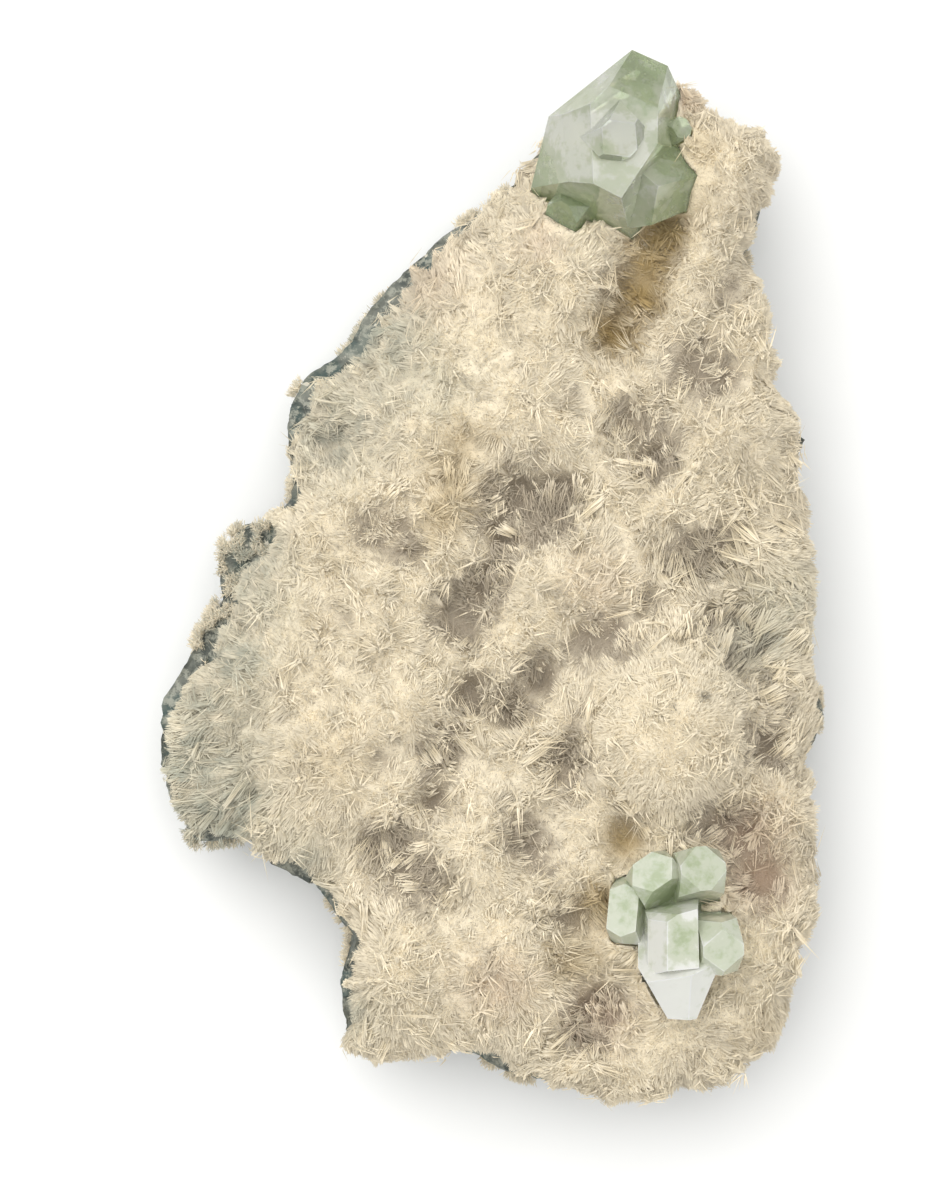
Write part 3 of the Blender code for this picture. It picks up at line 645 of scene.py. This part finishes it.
NEEDLES_IN_A_PIECE = 48000
NEEDLE_FACES = 4
ROW_DEPTH = 1.5  # depth of the rows in which needles are sorted into pieces
OWN_SHADE = 0.15  # share of a needle's own roundness in its shading
UPWARD = 2.4  # how strongly the rest of its shading looks up, so that thousands look like felt
NEEDLES_IN_A_BUNDLE = 26
BUNDLE_TILT = 0.22
BUNDLE_REACH = (-0.7, 0.0)
BUNDLE_SHADE = 0.06  # how much lighter or darker one is than another
NEEDLE_TILT = 0.07  # within its bundle
ROOT_DEPTH = 1.2  # depth of a bundle's root under its middle, in needle lengths
SHORT_SHARE = 0.3  # of the needles
SHORT_TILT = 0.3
SUNK_SHARE = 0.6  # of the bundles
ROSETTE_CALM = 0.35  # how uneven the rosette's needles are beside the others
SINK = -0.3  # least Z of a direction
STREAK_WIDTH = 1.5  # about the width of a ridge or groove in a spray
SPRAY_ROOT = (0.75, 1.5)  # its depth under the spray's top: a share of the radius, and millimetres
BATCH = 20000  # needles that are measured against every spray at a time
LEDGE_PATCH = 2.4  # size of the patches of fuzz
LEDGE_LENGTHS = (1.2, 2.6)
LEDGE_ROOT = 0.9  # how far a needle on a ledge stands in the rock
LEDGE_WIDTH = 0.9
BOX_MARGIN = 0.1
CRYSTAL_MARGIN = 0.12
CRYSTAL_REACH = 8  # farther than this from a crystal's box, a needle can't touch it
PROBES = (0, 0.7, 1.5, 2.4)  # how far behind the tip a needle is tested against the crystals
SEARCH_START = 0.5  # how far behind the tip the search for the crust's far side starts
SHORTEST = 1.2  # the least length of a needle that meets the crust's far side
CELL_MARGIN = 0.06  # round a needle's cell in the bake map


def surface_samples(node, wanted, count, dice):
    """Points spread over a solid's wanted faces, each with its face's normal."""
    shape = packed(node)
    corners, normals, areas = [], [], []
    for face in shape.faces:
        if not wanted(face.calc_center_median(), face.normal):
            continue
        corners.append([v.co[:] for v in face.verts[:3]])
        normals.append(face.normal[:])
        areas.append(face.calc_area())
    shape.free()
    corners, normals, areas = np.array(corners), np.array(normals), np.array(areas)
    chosen = dice.choice(len(areas), count, p=areas / areas.sum())
    u, v = dice.random((2, count))
    folded = u + v > 1
    u, v = np.where(folded, 1 - u, u)[:, None], np.where(folded, 1 - v, v)[:, None]
    a, b, c = corners[chosen].transpose(1, 0, 2)
    return a + u * (b - a) + v * (c - a), normals[chosen]


def open_crust(place, normal):
    """Whether needles grow on the crust's face there: not under its overhangs, nor in a crystal."""
    return normal.z >= UNDERSIDE and not inside_crystal(place, CLEARANCE)


def open_ledge(place, normal):
    """Whether the rock's face there looks up past the crust."""
    return normal.z > 0.05 and not solid(CRUST).ray_cast(place, Vector((0, 0, 1)))[0]


def unit(vectors):
    return vectors / np.maximum(np.linalg.norm(vectors, axis=1, keepdims=True), 1e-9)


def spray_directions(points, normals):
    """Away from the root of each point's spray, with that spray's lean; and the spray's number."""
    known = sprays()
    owners = np.empty(len(points), int)
    for start in range(0, len(points), BATCH):
        batch = slice(start, start + BATCH)
        apart = points[batch, None, :2] - known[None, :, :2]
        owners[batch] = ((apart**2).sum(2) - known[None, :, 2] ** 2).argmin(1)
    owner = known[owners]
    tops = read(relief()[1], owner[:, 0], owner[:, 1])
    roots = np.column_stack((owner[:, :2], tops - SPRAY_ROOT[0] * owner[:, 2] - SPRAY_ROOT[1]))
    away = unit(points - roots) + 0.6 * normals
    away[:, :2] += owner[:, 3:5]
    away[:, 2] += 0.2 * (1 - read(inland(), points[:, 0], points[:, 1]))
    return unit(away), owners


def bundled(tips, away, typical_length, splay, dice):
    """Needles in bundles that share a root, a tilt, a reach and a shade. Gives each needle's
    direction, its bundle's number and how far the tip is from the bundle's middle; then every
    bundle's reach and shade."""
    middles = dice.choice(len(tips), len(tips) // NEEDLES_IN_A_BUNDLE, replace=False)
    nearest = KDTree(len(middles))
    for number, k in enumerate(middles.tolist()):
        nearest.insert(tips[k], number)
    nearest.balance()
    found = [nearest.find(tip) for tip in tips.tolist()]
    member = np.array([hit[1] for hit in found])
    from_middle = np.array([hit[2] for hit in found])
    lead = unit(away[middles] + dice.normal(0, BUNDLE_TILT, (len(middles), 3)))
    reach = dice.uniform(*BUNDLE_REACH, len(middles))
    shade = dice.normal(1, BUNDLE_SHADE, len(middles))
    roots = tips[middles] - lead * typical_length * ROOT_DEPTH
    directions = unit(
        (1 - 0.5 * splay) * lead[member]
        + splay * unit(tips - roots[member])
        + dice.normal(0, NEEDLE_TILT, tips.shape)
    )
    return directions, member, from_middle, reach, shade


def streaks(tips, owners):
    """Ridges above 0 and grooves below it, which run out from the middle of each spray."""
    spray = sprays()[owners]
    turn = np.arctan2(tips[:, 1] - spray[:, 1], tips[:, 0] - spray[:, 0])
    rim = np.column_stack((np.cos(turn), np.sin(turn), owners)) * spray[:, 2:3]
    return np.array([rough(Vector(place), STREAK_WIDTH) for place in rim.tolist()])


@lru_cache
def needle_seeds(count, typical_length, splay, seed):
    """Tips, directions, lengths, widths as shares of the thickness, and colouring of the crust's
    needles, in millimetres; and each one's spray."""
    dice = np.random.default_rng(seed)
    tips, normals = surface_samples(CRUST, open_crust, count, dice)
    away, owners = spray_directions(tips, normals)
    directions, member, from_middle, reach, shade = bundled(tips, away, typical_length, splay, dice)

    # Short ones stand straight up between the bundles
    short = dice.random(count) < SHORT_SHARE
    straight = unit(normals + dice.normal(0, SHORT_TILT, tips.shape))
    directions[short] = straight[short]

    # Sunk bundles and grooves take a hollow's grey, painted shade, and needles lie more wildly
    # there
    streak = streaks(tips, owners)
    values = colour_values(tips)
    inner = read(inland(), tips[:, 0], tips[:, 1])
    sunk = dice.random(len(shade))[member] < SUNK_SHARE
    rosette = owners == 0
    calm = np.where(rosette, ROSETTE_CALM, 1.0)
    hollow = values["hollow"] * np.where(sunk, 1.4, 0.12)
    hollow -= 0.5 * np.minimum(streak, 0) * ~rosette
    hollow = values["hollow"] = np.clip(hollow, 0, 1)
    directions = unit(directions + dice.normal(0, 1, tips.shape) * (0.3 * hollow)[:, None])
    directions[:, 2] = np.maximum(directions[:, 2], SINK)
    directions = unit(directions)

    # Each needle's tint: its bundle's random shade, with painted light on its spray's ridges and
    # painted shade in the grooves; calmer and a little lighter in the rosette, darker at the dark
    # specks
    own_shade = (shade[member] + 0.14 * streak) * dice.normal(1, 0.035, count)
    values["tint"] = 1 + 0.04 * rosette + calm * (own_shade - 1)
    values["tint"] *= 1 - spread_of(DARK_SPECKS, *tips.T[:2])

    # Tips end at uneven heights round the crust's surface
    pushed = calm * (reach[member] + 0.9 * streak) - 0.5 * hollow - 0.35 * short
    pushed += 0.5 * np.clip(1 - from_middle, 0, 1)
    pushed += dice.uniform(-0.7, 0.1, count) * (0.6 + 0.4 * inner) + 0.1 * (1 - inner)
    tips = tips + directions * pushed[:, None]
    lengths = typical_length * (1 - 0.4 * short) * dice.lognormal(0, 0.28, count)
    lengths *= 1 - 0.45 * hollow
    lengths *= 0.75 + 0.25 * inner
    widths = dice.lognormal(0, 0.3, count) * (1 - 0.15 * hollow)
    return (tips, directions, lengths, widths, values), owners


@lru_cache
def ledge_seeds(count, seed):
    """The same for the thin fuzz that grows in patches on the rock's bare ledges."""
    dice = np.random.default_rng(seed + 1)
    feet, normals = surface_samples(ROCK, open_ledge, count, dice)
    patchy = np.array([rough(Vector(foot), LEDGE_PATCH) for foot in feet.tolist()]) > 0
    feet, normals = feet[patchy], normals[patchy]
    directions = unit(normals + dice.normal(0, 0.5, feet.shape))
    lengths = dice.uniform(*LEDGE_LENGTHS, len(feet))
    tips = feet + directions * (lengths - LEDGE_ROOT)[:, None]
    values = colour_values(tips)
    values["dust"] = np.clip(values["dust"] + dice.uniform(-0.5, 0.5, len(feet)), 0, 1)
    values["tint"] = dice.normal(0.95, 0.08, len(feet))
    return tips, directions, lengths, np.full(len(feet), LEDGE_WIDTH), values


def fitted(tips, directions, lengths):
    """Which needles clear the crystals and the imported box, and the length each has room for."""
    low, high = (np.array(corner) / MM for corner in CAD_BOX)
    kept = np.ones(len(tips), bool)
    for ends in (tips, tips - directions * lengths[:, None]):
        kept &= ((ends > low + BOX_MARGIN) & (ends < high - BOX_MARGIN)).all(1)
    near = np.zeros(len(tips), bool)
    for node in (LARGE, SMALL):
        least, most = (np.array(corner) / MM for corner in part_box(node))
        near |= ((tips > least - CRYSTAL_REACH) & (tips < most + CRYSTAL_REACH)).all(1)
    room = lengths.copy()
    for k in np.flatnonzero(kept).tolist():
        tip, along = Vector(tips[k]), Vector(directions[k])
        probes = (tip - along * step for step in PROBES)
        if near[k] and any(inside_crystal(probe, CRYSTAL_MARGIN) for probe in probes):
            kept[k] = False
            continue
        hit = solid(CRUST).ray_cast(tip - along * SEARCH_START, -along, lengths[k])
        if hit[0] is not None:
            room[k] = max(SHORTEST, min(lengths[k], SEARCH_START + 0.95 * hit[3]))
    return kept, room


def needle_tree(finish):
    """Geometry Nodes: a closed three-sided needle on every seed, widest near its slanting tip."""
    tree = bpy.data.node_groups.new("Needles", "GeometryNodeTree")
    sockets = tree.interface
    sockets.new_socket("Geometry", in_out="INPUT", socket_type="NodeSocketGeometry")
    for name in ("Thickness", "Length", "Slant"):
        sockets.new_socket(name, in_out="INPUT", socket_type="NodeSocketFloat")
    sockets.new_socket("Seed", in_out="INPUT", socket_type="NodeSocketInt")
    sockets.new_socket("Geometry", in_out="OUTPUT", socket_type="NodeSocketGeometry")
    given = add(tree, "NodeGroupInput").outputs

    cone = add(
        tree, "GeometryNodeMeshCone",
        {"Vertices": 3, "Side Segments": 1, "Radius Top": 1.0, "Radius Bottom": 0.0, "Depth": 1.0},
        fill_type="NGON",
    )
    position = add(tree, "GeometryNodeInputPosition").outputs[0]
    place = add(tree, "ShaderNodeSeparateXYZ", {0: position})
    behind = add(
        tree, "FunctionNodeCompare", {"A": place.outputs["X"], "B": -0.1},
        data_type="FLOAT", operation="LESS_THAN",
    )
    lower = add(
        tree, "ShaderNodeMath", {0: given["Slant"], 1: -1.0}, operation="MULTIPLY"
    ).outputs[0]
    slanted = add(
        tree, "GeometryNodeSetPosition",
        {
            "Geometry": cone.outputs["Mesh"], "Selection": behind.outputs["Result"],
            "Offset": add(tree, "ShaderNodeCombineXYZ", {"Z": lower}).outputs[0],
        },
    )
    marked = add(
        tree, "GeometryNodeStoreNamedAttribute",
        {"Geometry": slanted.outputs[0], "Name": "along", "Value": place.outputs["Z"]},
        data_type="FLOAT", domain="POINT",
    )
    smooth = add(
        tree, "GeometryNodeSetShadeSmooth", {"Geometry": marked.outputs[0], "Shade Smooth": True}
    )
    hung = add(
        tree, "GeometryNodeTransform",
        {"Geometry": smooth.outputs[0], "Translation": (0.0, 0.0, -1.0)},
    )

    direction = add(
        tree, "GeometryNodeInputNamedAttribute", {"Name": "direction"}, data_type="FLOAT_VECTOR"
    ).outputs[0]
    aimed = add(tree, "FunctionNodeAlignRotationToVector", {"Vector": direction}, axis="Z")
    roll = add(
        tree, "FunctionNodeRandomValue", {"Max": 2 * math.pi / 3, "Seed": given["Seed"]},
        data_type="FLOAT",
    )
    turn = add(
        tree, "FunctionNodeAxisAngleToRotation",
        {"Axis": (0.0, 0.0, 1.0), "Angle": roll.outputs["Value"]},
    )
    turned = add(
        tree, "FunctionNodeRotateRotation",
        {"Rotation": aimed.outputs[0], "Rotate By": turn.outputs[0]}, rotation_space="LOCAL",
    )
    sizes = []
    for name, size in (("width", "Thickness"), ("reach", "Length")):
        own = add(tree, "GeometryNodeInputNamedAttribute", {"Name": name}, data_type="FLOAT")
        values = {0: own.outputs[0], 1: given[size]}
        sizes.append(add(tree, "ShaderNodeMath", values, operation="MULTIPLY").outputs[0])
    half = add(tree, "ShaderNodeMath", {0: sizes[0], 1: 0.5}, operation="MULTIPLY").outputs[0]
    scale = add(tree, "ShaderNodeCombineXYZ", {"X": half, "Y": half, "Z": sizes[1]}).outputs[0]
    copies = add(
        tree, "GeometryNodeInstanceOnPoints",
        {
            "Points": given["Geometry"], "Instance": hung.outputs[0],
            "Rotation": turned.outputs[0], "Scale": scale,
        },
    )
    real = add(tree, "GeometryNodeRealizeInstances", {"Geometry": copies.outputs[0]})
    coat = {"Geometry": real.outputs[0], "Material": finish}
    dressed = add(tree, "GeometryNodeSetMaterial", coat)
    add(tree, "NodeGroupOutput", {0: dressed.outputs[0]})
    return tree


def grown(name, tree, seeds, finish, settings):
    """The mesh that the tree grows on seeds, with one cell of the bake map for each needle."""
    points, attributes = seeds
    mesh = bpy.data.meshes.new(f"{name}_seeds")
    mesh.vertices.add(len(points))
    mesh.vertices.foreach_set("co", (points * MM).astype(np.float32).ravel())
    for label, values in attributes.items():
        if values.ndim == 2:
            spot = mesh.attributes.new(label, "FLOAT_VECTOR", "POINT")
            spot.data.foreach_set("vector", values.astype(np.float32).ravel())
        else:
            floats(mesh, label, values)
    holder = placed(f"{name}_seeds", mesh, finish)
    growth = holder.modifiers.new("needles", "NODES")
    growth.node_group = tree
    # The tree's inputs have the names of the settings that feed them
    for item in tree.interface.items_tree:
        if item.in_out == "INPUT" and item.name != "Geometry":
            growth[item.identifier] = getattr(settings, item.name.lower())
    seen = bpy.context.evaluated_depsgraph_get()
    seen.update()
    result = bpy.data.meshes.new_from_object(holder.evaluated_get(seen), depsgraph=seen)
    bpy.data.objects.remove(holder)
    bpy.data.meshes.remove(mesh)
    result.name = name

    # A needle is shaded almost as one with its neighbours, so that the crust looks felted
    own, facing = np.empty((2, len(result.vertices) * 3), np.float32)
    result.vertices.foreach_get("normal", own)
    result.attributes["facing"].data.foreach_get("vector", facing)
    shown = unit(OWN_SHADE * own.reshape(-1, 3) + (1 - OWN_SHADE) * facing.reshape(-1, 3))
    result.normals_split_custom_set_from_vertices(shown)
    for label in ("direction", "width", "reach", "facing"):
        result.attributes.remove(result.attributes[label])
    needle_cells(result)
    return placed(name, result, finish)


def needle_cells(mesh):
    """A bake map: a grid of cells, one for each needle, with a column for each of its faces."""
    needles = len(mesh.polygons) // NEEDLE_FACES
    across = math.ceil(math.sqrt(needles))
    corner_points = np.empty(needles * NEEDLE_FACES * 3, np.int32)
    mesh.loops.foreach_get("vertex_index", corner_points)
    along = np.empty(len(mesh.vertices), np.float32)
    mesh.attributes["along"].data.foreach_get("value", along)
    reach = along[corner_points].reshape(needles, NEEDLE_FACES, 3)
    at_root = reach < 0.01
    one_after = np.roll(at_root, 1, axis=2)
    after_root = np.where(at_root.any(2, keepdims=True), one_after, [True, False, False])
    sideways = np.where(at_root, 0.5, np.where(after_root, 0.04, 0.96))
    column = np.arange(NEEDLE_FACES)[None, :, None]
    needle = np.arange(needles)[:, None, None]
    inside = 1 - 2 * CELL_MARGIN
    u = needle % across + CELL_MARGIN + inside * (column + sideways) / NEEDLE_FACES
    v = needle // across + CELL_MARGIN + inside * reach
    cells = mesh.uv_layers.new(name="OFBake")
    cells.data.foreach_set("uv", (np.stack((u, v), 3) / across).astype(np.float32).ravel())


# The pieces and the stage

ON_THE_BACK = 0.01  # a point of the rock that is lower than this stays on its flat back
BED_EDGE = 1.7  # longest edge of the bed's mesh
BED_CLEARANCE = 0.9  # nearer than this to a crystal the bed is left smooth
BED_SIDE = 0.15  # where a normal's Z is lower, the bed is let in sideways alone
SHARP_EDGE = 0.25  # least turn between two faces, in radians, at which their edge gets a painted highlight
FLOOR_DEPTH = 0.1
FLOOR_REACH = 2500


class SPECIMEN_OT_basalt(bpy.types.Operator):
    """Breaks up the faces of the basalt and gives them their stone"""

    bl_idname = "specimen.basalt"
    bl_label = "Basalt"

    def execute(self, context):
        settings = context.scene.specimen.basalt
        shape = packed(ROCK)
        top = max(v.co.z for v in shape.verts)
        refine(shape, settings.edge / MM, lambda e: max(v.co.z for v in e.verts) > ON_THE_BACK)
        up = Vector((0, 0, 1))
        moves = []
        for vert in shape.verts:
            hidden = vert.normal.z > 0.97 and solid(CRUST).ray_cast(vert.co, up, top)[0]
            if vert.co.z < ON_THE_BACK or hidden:
                continue
            # Hackles 3.2 mm apart, with 1.4 mm grit and 8 mm swells
            ridged = 1 - 2 * abs(rough(vert.co, 3.2))
            height = 0.55 * ridged + 0.35 * rough(vert.co, 1.4) + 1.4 * rough(vert.co, 8.0) - 0.9
            moves.append((vert, vert.normal * height * settings.grain / MM * min(1, vert.co.z)))
        low, high = (Vector(corner) / MM for corner in CAD_BOX)
        for vert, move in moves:
            vert.co = [min(max(c, a), b) for c, a, b in zip(vert.co + move, low, high)]
        # How far a face looks up: 0.12 on the sides, rising to 0.92 on faces that look straight up;
        # the basalt is paler grey there
        looks_up = [0.12 + 0.8 * max(0, vert.normal.z) for vert in shape.verts]
        rock = finished("basalt_rock", shape, basalt("hammered basalt", settings))
        floats(rock.data, "looks_up", looks_up)
        stands_for(rock, ROCK)
        return {"FINISHED"}


class SPECIMEN_OT_bed(bpy.types.Operator):
    """Lays the felted bed that the needles stand in"""

    bl_idname = "specimen.bed"
    bl_label = "Crust bed"

    def execute(self, context):
        settings = context.scene.specimen.crust
        shape = packed(CRUST)
        moves = []
        for vert in shape.verts:
            if vert.normal.z < UNDERSIDE or inside_crystal(vert.co, CLEARANCE):
                continue
            inward = vert.normal * settings.bed_depth / MM
            if vert.normal.z < BED_SIDE:
                inward.z = 0
            moves.append((vert, inward))
        for vert, inward in moves:
            vert.co -= inward
        refine(shape, BED_EDGE, lambda e: min(v.normal.z for v in e.verts) > -0.5)
        for vert in shape.verts:
            if vert.normal.z > 0 and not inside_crystal(vert.co, BED_CLEARANCE):
                vert.co += vert.normal * rough(vert.co, 1.3) * settings.relief / MM
        points = np.array([v.co[:] for v in shape.verts])
        finish = scolecite("felted scolecite", settings, True)
        bed = finished("scolecite_bed", shape, finish, smooth=True)
        values = colour_values(points)
        # The bed takes the hollows' grey, painted shade, and towards the crust's rim at least 0.8
        # of it
        bare = 1 - read(inland(), *points.T[:2])
        values["hollow"] = np.maximum(values["hollow"], 0.8 * bare)
        for name, given in values.items():
            floats(bed.data, name, given)
        stands_for(bed, CRUST)
        return {"FINISHED"}


class SPECIMEN_OT_needles(bpy.types.Operator):
    """Grows the scolecite needles out of the bed"""

    bl_idname = "specimen.needles"
    bl_label = "Needles"

    def execute(self, context):
        settings = context.scene.specimen.needles
        typical = settings.length / MM
        seeds, owners = needle_seeds(settings.count, typical, settings.splay, settings.seed)
        ledge = ledge_seeds(settings.ledge_count, settings.seed)
        finish = scolecite("scolecite needles", context.scene.specimen.crust, False)
        tree = needle_tree(finish)
        order = np.lexsort((seeds[0][:, 0], np.round(seeds[0][:, 1] / ROW_DEPTH)))
        rest = order[owners[order] > 0]
        pieces = {"needles_rosette": (seeds, order[owners[order] == 0])}
        bands = np.array_split(rest, math.ceil(len(rest) / NEEDLES_IN_A_PIECE))
        pieces.update({f"needles_band_{n}": (seeds, band) for n, band in enumerate(bands, 1)})
        pieces["needles_ledge"] = (ledge, np.arange(len(ledge[0])))
        for name, ((*shapes, values), part) in pieces.items():
            tips, directions, lengths, widths = (given[part] for given in shapes)
            kept, room = fitted(tips, directions, lengths)
            attributes = {
                "direction": directions, "facing": unit(directions + [0, 0, UPWARD]),
                "width": widths, "reach": room / typical,
                **{label: given[part] for label, given in values.items()},
            }
            attributes = {label: given[kept] for label, given in attributes.items()}
            piece = grown(name, tree, (tips[kept], attributes), finish, settings)
            stands_for(piece, CRUST)
        return {"FINISHED"}


class SPECIMEN_OT_crystals(bpy.types.Operator):
    """Makes both clusters of apophyllite clear stone, with a painted highlight along their sharp
    edges
    """

    bl_idname = "specimen.crystals"
    bl_label = "Apophyllite"

    def execute(self, context):
        settings = context.scene.specimen.crystals
        glassy = apophyllite("glassy apophyllite", settings, settings.transmission)
        pearly = apophyllite("pearly apophyllite", settings, settings.pearly)
        for node, name, tones, finish in (
            (LARGE, "large_crystals", LARGE_TONES, glassy),
            (SMALL, "small_crystals", SMALL_TONES, pearly),
        ):
            shape = packed(node)
            highlight_rim = shape.faces.layers.float.new("highlight_rim")
            bmesh.ops.dissolve_limit(
                shape, angle_limit=math.radians(0.5), verts=shape.verts, edges=shape.edges
            )
            rims = bmesh.ops.inset_individual(
                shape, faces=shape.faces[:], thickness=settings.edge / MM
            )
            # Each rim along a sharp convex edge is marked for the painted highlight
            for face in rims["faces"]:
                outer = (e.calc_face_angle(0) for e in face.edges if e.is_convex)
                face[highlight_rim] = any(turn > SHARP_EDGE for turn in outer)
            bmesh.ops.triangulate(shape, faces=shape.faces[:])
            refine(shape, settings.patch / MM, lambda e: True)
            points = np.array([v.co[:] for v in shape.verts])
            crystal = finished(name, shape, finish)
            floats(crystal.data, "tone", tone_of(tones, *points.T[:2]))
            stands_for(crystal, node)
        return {"FINISHED"}


class SPECIMEN_OT_stage(bpy.types.Operator):
    """Sets up the paper floor, the soft lights and the camera"""

    bl_idname = "specimen.stage"
    bl_label = "Stage"

    def execute(self, context):
        settings = context.scene.specimen.stage
        shape = bmesh.new()
        bmesh.ops.create_grid(shape, x_segments=1, y_segments=1, size=FLOOR_REACH)
        floor = finished("floor", shape, backdrop_paper("backdrop paper", settings.paper))
        floor.data.transform(Matrix.Translation((0, 0, -FLOOR_DEPTH * MM)))

        world = bpy.data.worlds.new("soft room")
        world.use_nodes = True
        sky = world.node_tree.nodes["Background"].inputs
        sky["Color"].default_value = (1, 1, 1, 1)
        sky["Strength"].default_value = settings.sky
        context.scene.world = world
        for name, power, size, place in (
            ("key", settings.key, 1.0, (-0.22, 0.28, 0.85)),
            ("fill", settings.fill, 0.8, (0.6, -0.4, 0.7)),
        ):
            lamp = bpy.data.lights.new(name, "AREA")
            lamp.energy = power
            lamp.size = size
            light = bpy.data.objects.new(name, lamp)
            light.location = place
            light.rotation_euler = (-Vector(place)).to_track_quat("-Z", "Y").to_euler()
            context.scene.collection.objects.link(light)

        middle = Vector((-4.66, -2.71, 30)) * MM
        lens = bpy.data.cameras.new("camera")
        lens.sensor_fit = "AUTO"
        lens.sensor_width = 36
        lens.lens = lens.sensor_width * (settings.height - middle.z) / settings.seen
        lens.clip_start = 0.01
        lens.clip_end = 20
        camera = bpy.data.objects.new("camera", lens)
        camera.location = (middle.x, middle.y, settings.height)
        context.scene.collection.objects.link(camera)
        context.scene.camera = camera
        context.scene.view_settings.view_transform = "Standard"
        return {"FINISHED"}


OPERATORS = (
    SPECIMEN_OT_stage, SPECIMEN_OT_basalt, SPECIMEN_OT_bed, SPECIMEN_OT_needles,
    SPECIMEN_OT_crystals,
)


class SPECIMEN_PT_panel(bpy.types.Panel):
    """Lists the specimen's pieces with their sizes and colours"""

    bl_idname = "SPECIMEN_PT_panel"
    bl_label = "Apophyllite on Scolecite"
    bl_space_type = "VIEW_3D"
    bl_region_type = "UI"
    bl_category = "Specimen"

    def draw(self, context):
        settings = context.scene.specimen
        for operator in OPERATORS:
            self.layout.operator(operator.bl_idname)
        for group in ("basalt", "crust", "needles", "crystals", "stage"):
            box = self.layout.box()
            box.label(text=group.title())
            values = getattr(settings, group)
            for name in type(values).__annotations__:
                box.prop(values, name)


CLASSES = (
    BasaltSettings, CrustSettings, NeedleSettings, CrystalSettings, StageSettings, SpecimenSettings,
    *OPERATORS, SPECIMEN_PT_panel,
)


def register():
    for made in CLASSES:
        bpy.utils.register_class(made)
    bpy.types.Scene.specimen = PointerProperty(type=SpecimenSettings)


def unregister():
    del bpy.types.Scene.specimen
    for made in reversed(CLASSES):
        bpy.utils.unregister_class(made)


def main():
    register()
    for operator in OPERATORS:
        group, name = operator.bl_idname.split(".")
        getattr(getattr(bpy.ops, group), name)()


if __name__ == "__main__":
    main()
